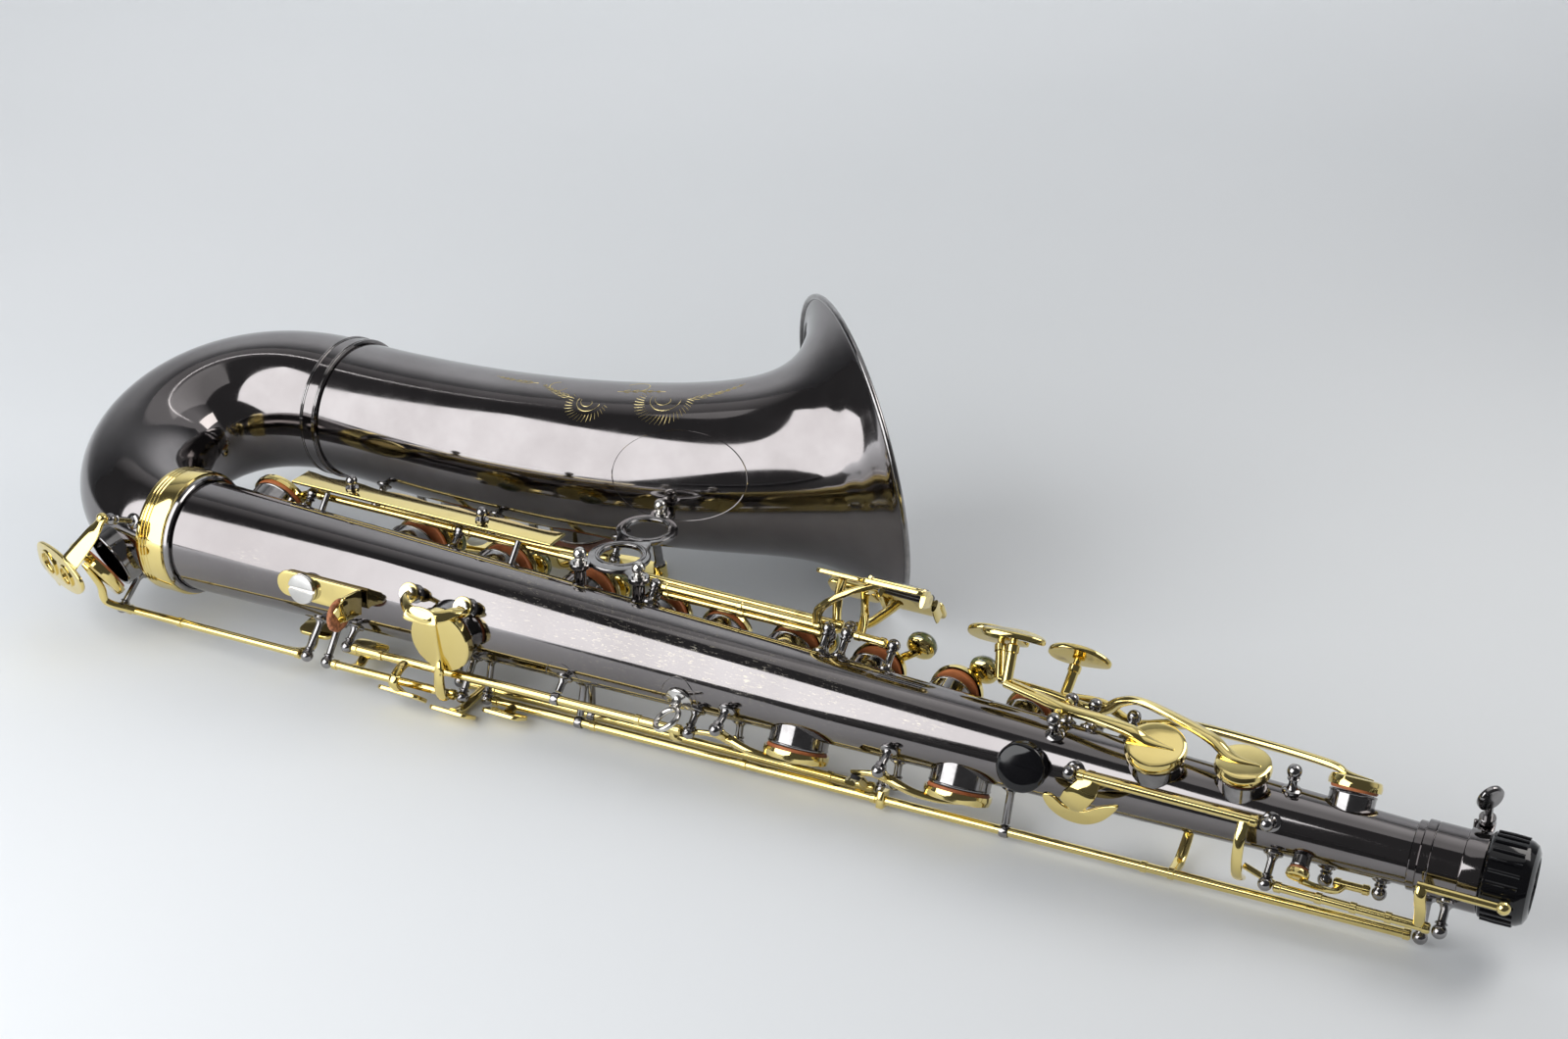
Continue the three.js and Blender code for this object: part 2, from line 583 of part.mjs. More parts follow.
const pipHinge = hingeBetween(tubePost(592, 152, 6.5), tubePost(614, 152, 6.5), POST_BALL + GAP + 0.1);
const pipSeat = toneHole('tube', tube, 583, 112, 3.6);
shutKey('octave_pip_key', pipHinge, [
  barrel(pipHinge, 1.7),
  cup(pipSeat, 3.6 + CUP_LAP),
  arm([onTube(600, 152, 6.5), onTube(597, 142, 9), onTube(591, 125, 9), onTube(585, 114, 9)], 1.4),
]);

// ==== bell keys =============================================================================
const bellPost = (u, angle, height) => addPost('bell', bellPipe, u, angle, height);
const BELL_HINGE = 125;
const bellHeads = [0.13, 0.37, 0.6].map((u) => bellPost(u, BELL_HINGE, 12));

function bellKey(name, hinge, u, hole) {
  const seat = toneHole('bell', bellPipe, u, 178, hole);
  openStandingKey(name, hinge, [
    barrel(hinge),
    cup(seat, hole + CUP_LAP),
    arm([on(bellPipe, u, BELL_HINGE, 12), on(bellPipe, u, 138, 16.5), on(bellPipe, u, 158, 14.5),
      on(bellPipe, u, 178, 11.6)], 2.4),
  ], pad(seat, hole + CUP_LAP), -9);
}

bellKey('low_b_key', hingeBetween(bellHeads[0], bellHeads[1]), 0.25, 18.5);
bellKey('low_bb_key', hingeBetween(bellHeads[1], bellHeads[2]), 0.485, 19.5);

const GUARD_FEET = [[0.12, 28.2], [0.37, 27.2], [0.62, 24.6]];
for (const [u, height] of GUARD_FEET) bellPost(u, 178, height);
const guardFrame = frameOn(bellPipe, 0.37, 178, 32.4);
addPart('bell_key_guard', plate([[-74, -8], [-60, -11], [-12, -7], [12, -7], [56, -11], [74, -8], [74, 8],
  [56, 11], [12, 7], [-12, 7], [-60, 11], [-74, 8]], 1.8, guardFrame,
[roundHole(-38, 0, 7), roundHole(36, 0, 7)]), BRASS);

// ==== fixed fittings =========================================================================
const jointRing = (bowSide, farSide, outer, back, front) => [[bowSide, back], [outer, back], [outer, front],
  [farSide, front], [farSide, 0.5], [bowSide, 0.5], [bowSide, back]];
const alongX = (x) => towards(vec(x, 0, 0), vec(1, 0, 0));
addPart('body_bow_ring', solid(turned(jointRing(TUBE_RADIUS + 2.6, TUBE_RADIUS + 0.9, TUBE_RADIUS + 3.9, -6, 11),
  PIPE_FACETS), alongX(0)), BRASS);
const bellJoint = bellPipe.at(0);
addPart('bell_bow_ring', solid(turned(jointRing(BELL_RADIUS + 1.3, BELL_RADIUS + 1.1, BELL_RADIUS + 2.5, -6, 5),
  PIPE_FACETS),
  towards(vec(bellJoint.centre.x, bellJoint.centre.y, 0), vec(bellJoint.along.x, bellJoint.along.y, 0))),
BLACK_NICKEL);

const RECEIVER_START = TUBE_LENGTH + GAP;
const receiverWall = [[12, 0], [14.4, 0], [RECEIVER_RADIUS, 1.5], [RECEIVER_RADIUS, 19], [16.6, 19.6],
  [16.6, RECEIVER_LENGTH], [12.9, RECEIVER_LENGTH], [12.9, 4], [12, 4], [12, 0]];
const screwPoint = vec(RECEIVER_START + 23.5, 20.4, 0);
const clampLug = box([7, 9, 15], new THREE.Matrix4().setPosition(screwPoint.x, 18.6, 0));
const receiverCore = rod(vec(RECEIVER_START - 1, 0, 0), vec(RECEIVER_START + 40, 0, 0), 12.9, 14);
const slit = box([14, 12, 1], new THREE.Matrix4().setPosition(RECEIVER_START + 24, 18, 0));
const screwHole = rod(screwPoint.clone().setZ(-12), screwPoint.clone().setZ(12), 2.3, 12);
addPart('neck_receiver', cut(union([
  solid(turned(receiverWall, 14), alongX(RECEIVER_START)),
  cut(union([clampLug, ...posts.receiver]), [receiverCore]),
]), [slit, screwHole]), BLACK_NICKEL);

const neckScrewHinge = hingeBetween(screwPoint.clone().setZ(-10), screwPoint.clone().setZ(27), 0);
const paddle = new THREE.Matrix4().makeRotationY(Math.PI / 2).setPosition(screwPoint.x, screwPoint.y, 21);
addPart('neck_screw', union([
  rod(screwPoint.clone().setZ(-9.5), screwPoint.clone().setZ(17), 1.8, 8),
  solid(turned([[0, 7.9], [3.2, 7.9], [3.2, 10.5], [0, 10.5]], 8), towards(screwPoint, vec(0, 0, 1))),
  solid(turned([[0, -1.5], [5.4, -1.2], [5.8, 0], [5.4, 1.2], [0, 1.5]], 12), paddle),
]), NICKEL, neckScrewHinge);

const CAP_FACE = RECEIVER_START + RECEIVER_LENGTH + GAP;
const capBody = solid(turned([[0, -16], [12.3, -16], [12.3, 0], [16.8, 0], [17.4, 1.2], [17.4, 15], [0, 18.6]], 14), alongX(CAP_FACE));
const ribs = Array.from({ length: 7 }, (_, k) => box([12, 3, 2.4],
  new THREE.Matrix4().makeRotationX(((k + 0.5) * 2 * Math.PI) / 7)
    .multiply(new THREE.Matrix4().makeTranslation(CAP_FACE + 8, 0, 17.2))));
const capHinge = { from: vec(CAP_FACE, 0, 0), axis: vec(1, 0, 0) };
addPart('end_cap', union([capBody, ...ribs]), PLASTIC, capHinge);

addPart('thumb_rest', solid(turned([[0, 0.4], [6, 0.4], [6, 2.4], [10.6, 3.4], [11, 5], [9.4, 6.6], [0, 7]], 16),
  frameOn(tube, 464, 62, 0)), PLASTIC);

const hookFrame = frameOn(tube, 104, 69, 0);
const inFrame = (frame, x, y, z) => frame.clone().multiply(new THREE.Matrix4().makeTranslation(x, y, z));
const hookPlate = plate([[-18, -6.5], [25, -6.5], [25, 6.5], [-18, 6.5], [-22.6, 4.6], [-24.5, 0], [-22.6, -4.6]],
  1.8, inFrame(hookFrame, 0, 0, 2.3), [roundHole(-8, 0, 3)]);
addPart('thumb_hook', union([
  hookPlate,
  box([1.8, 13, 15], inFrame(hookFrame, 24.1, 0, 8.9)),
  solid(new THREE.CylinderGeometry(8, 8, 1.8, 14).rotateZ(Math.PI / 2), inFrame(hookFrame, 24.1, -3, 15.4)),
]), BRASS);
addPart('thumb_hook_screw', cut(
  solid(turned([[0, 0.5], [2.6, 0.5], [2.6, 3.5], [7.6, 3.5], [7.2, 5], [5, 5.8], [0, 6]], 14),
    inFrame(hookFrame, -8, 0, 0)),
  [box([16, 1.2, 2], inFrame(hookFrame, -8, 0, 6))],
), NICKEL);

const strapFrame = frameOn(tube, 299, 97, 0);
const ringTurn = new THREE.Matrix4().makeRotationZ(radians(25)).multiply(new THREE.Matrix4()
  .makeRotationX(Math.PI / 2));
addPart('strap_ring', union([
  solid(turned([[0, 0.9], [6, 0.9], [5.6, 2.2], [3, 3.4], [2.6, 6], [0, 6]], 8), strapFrame),
  solid(new THREE.TorusGeometry(6.1, 1.3, 5, 12), inFrame(strapFrame, 0, 0, 12.4).multiply(ringTurn)),
]), NICKEL);

// low C guard: a pierced scroll on two feet over the bow key
const guardA = addPost('bow', bowPipe, 0.955, 50, 15);
const guardB = addPost('bow', bowPipe, 0.8, 112, 17);
const overPost = (point, pipe, station, angle, lift) => point.clone()
  .addScaledVector(outward(pipe, station, angle), lift);
const scroll = [[-24, -8], [-14, -13], [2, -12], [16, -8], [24, 0], [22, 7], [8, 12], [-8, 11], [-20, 6]];
addPart('low_c_guard', union([
  plate(scroll, 2, frameOn(bowPipe, 0.89, 92, 31), [roundHole(-10, -1, 6), roundHole(8, 0, 5)]),
  arm([overPost(guardA, bowPipe, 0.955, 50, 5.4), on(bowPipe, 0.945, 62, 26), on(bowPipe, 0.91, 82, 31)], 2.2),
  arm([overPost(guardB, bowPipe, 0.8, 112, 5.4), on(bowPipe, 0.82, 108, 28), on(bowPipe, 0.87, 98, 31)], 2.2),
]), BRASS);

// low E flat guard: an arch on two bosses beside the cup
for (const x of [157, 187]) posts.tube.push(rod(onTube(x, 47, -1), onTube(x, 47, 5), 3.6, 12));
addPart('low_eb_guard', union([
  rod(onTube(157, 47, 5.3), onTube(157, 47, 7), 4.4, 12),
  rod(onTube(187, 47, 5.3), onTube(187, 47, 7), 4.4, 12),
  arm([onTube(156, 47, 6.5), onTube(160, 51, 14), onTube(168, 56, 19.5), onTube(180, 57, 19.5),
    onTube(187, 52, 14), onTube(188, 47, 6.5)], 1.9),
  plate([[-11, -3], [11, -3], [8, 6], [-8, 6]], 1.8, frameOn(tube, 174, 62, 19.6)),
]), BRASS);

// long flat guard over the left-hand rods
const railFrame = new THREE.Matrix4().makeRotationX(radians(-14)).setPosition(128, 35, 21.4);
addPart('rod_guard', box([154, 12.5, 1.6], railFrame), BRASS);
for (const x of [72, 186]) posts.tube.push(rod(vec(x, 19, 12), vec(x, 30, 19.6), 1.6));

// brace between body and bell: a figure of eight in one flat plate
const braceFrame = new THREE.Matrix4().makeBasis(vec(1, 0, 0), vec(0, 0.975, -0.222), vec(0, 0.222, 0.975))
  .setPosition(237, 52, 15);
const BRACE_THICK = 2.4;
const disc = (x, y, radius, thickness) => solid(
  new THREE.CylinderGeometry(radius, radius, thickness, 14).rotateX(Math.PI / 2), inFrame(braceFrame, x, y, 0));
addPart('bell_brace', cut(union([
  disc(1, -15.4, 15.2, BRACE_THICK),
  disc(-1, 14.8, 15.2, BRACE_THICK),
  disc(-12, -29.5, 5, BRACE_THICK),
  disc(20, -29.5, 5, BRACE_THICK),
  disc(-3, 32, 5, BRACE_THICK),
  box([24, 12, BRACE_THICK], inFrame(braceFrame, 4, -27, 0)),
  box([14, 5, BRACE_THICK], inFrame(braceFrame, 0, -0.2, 0)),
]), [disc(1, -13.6, 10, 9), disc(-1, 14.8, 10.4, 9)]), BLACK_NICKEL);
for (const x of [225, 257]) posts.tube.push(rod(vec(x, 19.6, 8), vec(x, 22.2, 19.6), 3));
posts.bell.push(rod(vec(234, 96, 0.2), vec(234, 86, 2.6), 2.4));

// ==== pipes with everything soldered to them =================================================
const runs = [lowCHinge, lowEbHinge, lowCsHinge, sideBb.hinge, sideC.hinge, highEHinge];
const runBores = runs.map((hinge) => rod(hinge.start, hinge.end, POST_BALL + 0.5, 8));
const tubeStations = [GAP, TUBE_LENGTH];

// pipe wall, tone-hole rims and posts in one; the rims end inside the wall
function fittedPipe(pipe, stations, coreStations, owner) {
  const core = filled(pipe, coreStations, PIPE_FACETS, WALL / 2);
  const rims = union(chimneys[owner]).subtract(core);
  const whole = union([hollow(pipe, stations, PIPE_FACETS), rims, ...posts[owner]]);
  return cut(whole, [...bores[owner], ...runBores]);
}

posts.tube.push(post(tube, 573, -16, 9, 2.6));
addPart('body_tube', fittedPipe(tube, tubeStations, [-20, TUBE_LENGTH + 20], 'tube'), BLACK_NICKEL);

addPart('bow', fittedPipe(bowPipe, steps(0.004, 0.998, 9), steps(0.02, 0.98, 9), 'bow'), BLACK_NICKEL);

const mouth = bellPipe.at(1);
posts.bell.push(solid(new THREE.TorusGeometry(mouth.radius, 1.5, 4, PIPE_FACETS), towards(
  vec(mouth.centre.x, mouth.centre.y, 0), vec(mouth.along.x, mouth.along.y, 0))));
addPart('bell', fittedPipe(bellPipe, steps(0.002, 1, 9, 1.9), steps(0.02, 0.9, 7), 'bell'), BLACK_NICKEL);

// ==== resting position =======================================================================
saxophone.rotation.set(radians(RESTING_ROLL), radians(RESTING_PITCH), 0);
saxophone.updateMatrixWorld(true);
const extent = new THREE.Box3().setFromObject(saxophone, true);
saxophone.position.set(-(extent.min.x + extent.max.x) / 2, -(extent.min.y + extent.max.y) / 2, -extent.min.z);

export default saxophone;
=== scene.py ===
# Looks of the saxophone: polished black nickel, lacquered brass keywork, leather pads.
# Shapes are drawn in the instrument's own frame (millimetres): +X along the body tube from the bow
# joint to the neck, +Y from the player to the bell, +Z the player's left. Angles round a pipe start
# at +Z and grow towards the player. INSTRUMENT places that frame in the row frame, in metres.
import json
from math import asin, cos, degrees, pi, radians, sin

import bmesh
import bpy
from mathutils import Matrix, Vector

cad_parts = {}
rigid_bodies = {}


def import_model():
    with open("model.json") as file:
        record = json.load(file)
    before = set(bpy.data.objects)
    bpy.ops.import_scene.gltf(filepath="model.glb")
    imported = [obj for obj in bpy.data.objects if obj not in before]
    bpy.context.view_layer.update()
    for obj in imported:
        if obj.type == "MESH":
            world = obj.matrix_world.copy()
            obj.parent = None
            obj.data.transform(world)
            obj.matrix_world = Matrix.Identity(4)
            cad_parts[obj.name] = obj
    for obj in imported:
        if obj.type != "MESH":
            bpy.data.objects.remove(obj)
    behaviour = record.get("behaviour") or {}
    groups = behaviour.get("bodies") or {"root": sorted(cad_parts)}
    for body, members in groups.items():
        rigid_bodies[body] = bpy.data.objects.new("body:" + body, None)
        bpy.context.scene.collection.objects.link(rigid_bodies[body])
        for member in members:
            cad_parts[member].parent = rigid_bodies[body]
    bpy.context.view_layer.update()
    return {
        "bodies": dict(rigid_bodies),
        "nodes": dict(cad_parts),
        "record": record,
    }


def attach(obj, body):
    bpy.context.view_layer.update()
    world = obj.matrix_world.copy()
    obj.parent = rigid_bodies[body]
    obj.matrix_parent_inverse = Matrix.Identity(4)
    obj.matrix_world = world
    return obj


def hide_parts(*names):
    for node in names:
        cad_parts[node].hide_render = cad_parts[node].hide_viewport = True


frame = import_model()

# ---- the instrument's frame ----
TUBE_RADIUS = 28.5
TUBE_TAPER = 0.0245
TUBE_LENGTH = 624
WALL = 1.2
GAP = 0.3
RECEIVER_RADIUS = 15.6
RECEIVER_START = TUBE_LENGTH + GAP
RECEIVER_LENGTH = 28
CAP_FACE = RECEIVER_START + RECEIVER_LENGTH + GAP
BELL_START, BELL_END = (20, 119.5), (298, 171)
BELL_START_TILT, BELL_END_TILT = -2.9, 43.8
BELL_RADIUS, BELL_GAIN, GAIN_POWER, BELL_FLARE, FLARE_POWER = 36.6, 11, 1.6, 34, 18
BOW_SWELL = 4.3
RESTING_ROLL, RESTING_PITCH = 12.54, 1.44
CHIMNEY_LIFT = 4.2
SEAT = CHIMNEY_LIFT + GAP
PAD_THICK, CUP_THICK = 2.6, 3.2
CUP_LAP = 1.6
CUP_BASE, CUP_TOP = SEAT + PAD_THICK + GAP, SEAT + PAD_THICK + CUP_THICK
CROWN = 11.2  # where an arm lies on its cup, above the pipe
POST_BALL, POST_STEM, POST_FOOT = 3.1, 1.75, 4.2


def rotation(angle, axis):
    return Matrix.Rotation(radians(angle), 4, axis)


turn = rotation(RESTING_ROLL, "X") @ rotation(RESTING_PITCH, "Y")
joints = {joint["name"]: joint for joint in frame["record"]["behaviour"]["joints"]}
plug_point = Vector(joints["end_cap_pull"]["pos_m"])
INSTRUMENT = turn @ Matrix.Scale(0.001, 4)
INSTRUMENT.translation = plug_point - (INSTRUMENT @ Vector((CAP_FACE, 0, 0)))


def vec(x, y, z=0):
    return Vector((x, y, z))


def round_turn(count):
    """Angles of a full turn, in equal steps."""
    return [2 * pi * k / count for k in range(count)]


def catmull(p0, p1, p2, p3, t):
    """Point between p1 and p2 on a Catmull-Rom curve."""
    return 0.5 * ((2 * p1) + (p2 - p0) * t + (2 * p0 - 5 * p1 + 4 * p2 - p3) * t * t
                  + (3 * p1 - p0 - 3 * p2 + p3) * t**3)


def placed(name, data):
    thing = bpy.data.objects.new(name, data)
    bpy.context.scene.collection.objects.link(thing)
    return thing


def mesh_of(mesh, name):
    """Mesh data from a bmesh, which is used up."""
    data = bpy.data.meshes.new(name)
    mesh.to_mesh(data)
    mesh.free()
    return data


def evaluated_mesh(thing):
    bpy.context.view_layer.update()
    return bpy.data.meshes.new_from_object(thing.evaluated_get(bpy.context.evaluated_depsgraph_get()))


# ---- pipes ----
class Straight:
    def __init__(self, radius, taper=0):
        self.start_radius, self.taper = radius, taper

    def at(self, x):
        return vec(x, 0), vec(1, 0), self.start_radius - self.taper * x


CURVE_STEPS = 400


class Curved:
    """A pipe along a cubic, measured by share of its length."""

    def __init__(self, start, start_tilt, start_pull, end, end_tilt, end_pull, radius):
        def lead(tilt, pull):
            return vec(cos(radians(tilt)), sin(radians(tilt))) * pull

        start, end = vec(*start), vec(*end)
        handles = (start, start + lead(start_tilt, start_pull), end - lead(end_tilt, end_pull), end)
        self.points = [self.cubic(handles, i / CURVE_STEPS) for i in range(CURVE_STEPS + 1)]
        self.lengths = [0]
        for a, b in zip(self.points, self.points[1:]):
            self.lengths.append(self.lengths[-1] + (b - a).length)
        self.radius = radius

    @staticmethod
    def cubic(p, t):
        s = 1 - t
        return p[0] * s**3 + p[1] * 3 * s * s * t + p[2] * 3 * s * t * t + p[3] * t**3

    def at(self, u):
        u = min(max(u, 0), 1)
        target = u * self.lengths[-1]
        i = next((k for k, length in enumerate(self.lengths) if length > target), CURVE_STEPS) - 1
        share = (target - self.lengths[i]) / (self.lengths[i + 1] - self.lengths[i])
        along = (self.points[min(i + 2, CURVE_STEPS)] - self.points[max(i - 1, 0)]).normalized()
        return self.points[i].lerp(self.points[i + 1], share), along, self.radius(u)


tube = Straight(TUBE_RADIUS, TUBE_TAPER)
receiver_pipe = Straight(RECEIVER_RADIUS)
bell_pipe = Curved(BELL_START, BELL_START_TILT, 30, BELL_END, BELL_END_TILT, 95,
                   lambda u: BELL_RADIUS + BELL_GAIN * u**GAIN_POWER + BELL_FLARE * u**FLARE_POWER)
bow_pipe = Curved(BELL_START, 180 + BELL_START_TILT, 111, (0, 0), 0, 75,
                  lambda u: BELL_RADIUS + (TUBE_RADIUS - BELL_RADIUS) * u + 4 * BOW_SWELL * u * (1 - u))


def outward(pipe, station, angle):
    _, along, _ = pipe.at(station)
    side = vec(along.y, -along.x)
    return vec(0, 0, cos(radians(angle))) + side * sin(radians(angle))


def on(pipe, station, angle, height):
    centre, _, radius = pipe.at(station)
    return centre + outward(pipe, station, angle) * (radius + height)


def on_tube(x, angle, height):
    return on(tube, x, angle, height)


def frame_on(pipe, station, angle, height=0):
    """Local X along the pipe, local Z outward."""
    _, x, _ = pipe.at(station)
    z = outward(pipe, station, angle)
    y = z.cross(x)
    place = Matrix((x, y, z)).transposed().to_4x4()
    place.translation = on(pipe, station, angle, height)
    return place


def towards(origin, direction):
    place = Vector((0, 0, 1)).rotation_difference(direction).to_matrix().to_4x4()
    place.translation = origin
    return place


def shifted(place, x, y, z):
    return place @ Matrix.Translation((x, y, z))


# ---- shapes ----
ON_AXIS = 1e-6
SWEEP_STEPS = 7
CHAMFER = 0.25
SQUARENESS = 2.6


class Shape:
    """Collects closed solids of one material; made() turns them into one piece."""

    def __init__(self):
        self.mesh = bmesh.new()

    def rings(self, rings, closed=False):
        """Skin over rings of points."""
        rows = [[self.mesh.verts.new(p) for p in ring] for ring in rings]
        pairs = list(zip(rows, rows[1:]))
        if closed:
            pairs.append((rows[-1], rows[0]))
        for a, b in pairs:
            for k in range(len(a)):
                j = (k + 1) % len(a)
                self.mesh.faces.new((a[k], a[j], b[j], b[k]))
        if not closed:
            self.mesh.faces.new(list(reversed(rows[0])))
            self.mesh.faces.new(rows[-1])

    def turned(self, profile, place, segments):
        """Solid of revolution about local Z; (radius, height) runs from axis to axis or round a loop."""
        rows = []
        for radius, height in profile:
            corners = [(radius * cos(a), radius * sin(a)) for a in round_turn(segments)]
            if radius < ON_AXIS:
                corners = [(0, 0)]
            rows.append([self.mesh.verts.new(place @ vec(x, y, height)) for x, y in corners])
        for a, b in zip(rows, rows[1:]):
            for k in range(segments):
                j = (k + 1) % segments
                corners = [a[k % len(a)], a[j % len(a)], b[j % len(b)], b[k % len(b)]]
                unique = list(dict.fromkeys(corners))
                if len(unique) > 2:
                    self.mesh.faces.new(unique)
        if len(rows[0]) > 1 and rows[0] is not rows[-1] and profile[0] == profile[-1]:
            bmesh.ops.remove_doubles(self.mesh, verts=rows[0] + rows[-1], dist=1e-5)

    def rod(self, start, end, radius, segments=20):
        axis = end - start
        length = axis.length
        profile = [(0, 0), (radius - CHAMFER, 0), (radius, CHAMFER), (radius, length - CHAMFER),
                   (radius - CHAMFER, length), (0, length)]
        self.turned(profile, towards(start, axis), segments)

    def ball(self, centre, radius, segments=20):
        steps = 10
        profile = [(radius * sin(pi * k / steps), -radius * cos(pi * k / steps))
                   for k in range(steps + 1)]
        profile[0], profile[-1] = (0, -radius), (0, radius)
        self.turned(profile, Matrix.Translation(centre), segments)

    def sweep(self, points, sizes, up, segments=14):
        """Rounded bar through points; sizes are (width, height) pairs, up turns its section."""
        path, spans = [], []
        count = len(points) - 1
        padded = [points[0] * 2 - points[1], *points, points[-1] * 2 - points[-2]]
        for i in range(count):
            for k in range(SWEEP_STEPS + (i == count - 1)):
                t = k / SWEEP_STEPS
                path.append(catmull(*padded[i:i + 4], t))
                spans.append(i + t)
        rings = []
        for i, point in enumerate(path):
            along = (path[min(i + 1, len(path) - 1)] - path[max(i - 1, 0)]).normalized()
            lift = up(point) if callable(up) else up
            side = along.cross(lift).normalized()
            top = side.cross(along).normalized()
            a, b = sizes[int(spans[i])], sizes[min(int(spans[i]) + 1, count)]
            share = spans[i] - int(spans[i])
            width = a[0] + (b[0] - a[0]) * share
            height = a[1] + (b[1] - a[1]) * share
            ring = []
            for angle in round_turn(segments):
                c, s = cos(angle), sin(angle)
                scale = (abs(c)**SQUARENESS + abs(s)**SQUARENESS) ** (-1 / SQUARENESS)
                ring.append(point + side * (c * scale * width / 2) + top * (s * scale * height / 2))
            rings.append(ring)
        self.rings(rings)

    def plate(self, outlines, thickness, place, bevel, bend=None):
        """Flat plate with rounded edges; outlines are closed lists of (x, y), holes included."""
        curve = bpy.data.curves.new("plate", "CURVE")
        curve.dimensions = "2D"
        curve.fill_mode = "BOTH"
        curve.extrude = thickness / 2 - bevel
        curve.bevel_depth = bevel
        curve.bevel_resolution = 2
        curve.offset = -bevel
        for outline in outlines:
            spline = curve.splines.new("POLY")
            spline.points.add(len(outline) - 1)
            spline.use_cyclic_u = True
            for point, (x, y) in zip(spline.points, outline):
                point.co = (x, y, 0, 1)
        holder = placed("plate", curve)
        mesh = evaluated_mesh(holder)
        if bend:
            for vertex in mesh.vertices:
                vertex.co.z += bend(vertex.co.x, vertex.co.y)
        mesh.transform(place)
        self.mesh.from_mesh(mesh)
        bpy.data.objects.remove(holder)
        bpy.data.curves.remove(curve)
        bpy.data.meshes.remove(mesh)

    def made(self, name, material, body, slot, edge):
        """One piece on its body; it replaces the CAD node of its name."""
        bmesh.ops.remove_doubles(self.mesh, verts=self.mesh.verts, dist=1e-4)
        bmesh.ops.recalc_face_normals(self.mesh, faces=self.mesh.faces)
        for face in self.mesh.faces:
            face.smooth = True
        for e in self.mesh.edges:
            if len(e.link_faces) == 2 and e.calc_face_angle(0) > radians(edge):
                e.smooth = False
        self.mesh.transform(INSTRUMENT)
        data = mesh_of(self.mesh, name)
        data.materials.append(material)
        piece = placed(name, data)
        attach(piece, body)
        if name in frame["nodes"]:
            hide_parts(name)
        return piece


# ---- materials ----
def material(name, color, roughness, metallic=0.0, **sockets):
    made = bpy.data.materials.new(name)
    made.use_nodes = True
    shader = made.node_tree.nodes["Principled BSDF"]
    shader.inputs["Base Color"].default_value = (*color, 1)
    shader.inputs["Roughness"].default_value = roughness
    shader.inputs["Metallic"].default_value = metallic
    for socket, value in sockets.items():
        shader.inputs[socket.replace("_", " ")].default_value = value
    return made


def shader_of(made):
    return made.node_tree.nodes["Principled BSDF"]


def node(made, kind, values=(), **settings):
    n = made.node_tree.nodes.new(kind)
    for key, value in dict(values).items():
        n.inputs[key].default_value = value
    for key, value in settings.items():
        setattr(n, key, value)
    return n


def link(made, a, out, b, into):
    made.node_tree.links.new(a.outputs[out], b.inputs[into])


def drive(made, source, out, socket):
    link(made, source, out, shader_of(made), socket)


def noise(made, scale, detail, stretch=(1, 1, 1), roughness=0.55):
    """Noise in object coordinates, optionally stretched along an axis."""
    place = node(made, "ShaderNodeTexCoord")
    mapping = node(made, "ShaderNodeMapping", {"Scale": stretch})
    link(made, place, "Object", mapping, "Vector")
    texture = node(made, "ShaderNodeTexNoise", {"Scale": scale, "Detail": detail, "Roughness": roughness})
    link(made, mapping, "Vector", texture, "Vector")
    return texture


def set_ramp(colors, *stops):
    for element, (position, color) in zip(colors.elements, stops):
        element.position, element.color = position, (*color, 1)


def ramp(made, source, low, high, color_low, color_high):
    r = node(made, "ShaderNodeValToRGB")
    set_ramp(r.color_ramp, (low, color_low), (high, color_high))
    link(made, source, "Fac", r, "Fac")
    return r


def spread(made, source, low, high, to_low, to_high, out="Fac"):
    m = node(made, "ShaderNodeMapRange",
             {"From Min": low, "From Max": high, "To Min": to_low, "To Max": to_high})
    link(made, source, out, m, "Value")
    return m


def relief(made, source, strength, distance):
    bump = node(made, "ShaderNodeBump", {"Strength": strength, "Distance": distance})
    link(made, source, "Fac", bump, "Height")
    drive(made, bump, "Normal", "Normal")


def stain(made, mask, out, color):
    """Lay a colour over the base colour where the mask is high."""
    base = shader_of(made).inputs["Base Color"].links[0].from_socket
    mix = node(made, "ShaderNodeMix", {7: (*color, 1)}, data_type="RGBA")
    link(made, mask, out, mix, 0)
    made.node_tree.links.new(base, mix.inputs[6])
    drive(made, mix, 2, "Base Color")


def grained(made, scale, detail, low, high, dark, light):
    """Base colour from a noise between two colours."""
    drive(made, ramp(made, noise(made, scale, detail), low, high, dark, light), "Color", "Base Color")


def polished(name, dark, light, smooth, rough, scale, **sockets):
    """Plated or lacquered metal: faint clouding of colour and gloss."""
    made = material(name, light, smooth, 1.0, **sockets)
    grained(made, scale, 5, 0.35, 0.7, dark, light)
    smears = noise(made, scale * 2.6, 6, roughness=0.65)
    drive(made, spread(made, smears, 0.35, 0.75, smooth, rough), "Result", "Roughness")
    return made


# worn places on the body tube: station, angle, reach in mm, strength
WEAR_SPOTS = [(262, 24, 34, 0.9), (300, 33, 30, 1.0), (335, 36, 24, 0.95), (238, 10, 26, 0.7),
              (372, 34, 26, 0.7), (415, 36, 22, 0.45), (268, 52, 20, 0.5), (214, 2, 30, 0.9),
              (250, -4, 26, 0.8), (60, 62, 16, 0.25)]
WORN_COLOR, WORN_ROUGHNESS = (0.6, 0.55, 0.43), 0.5


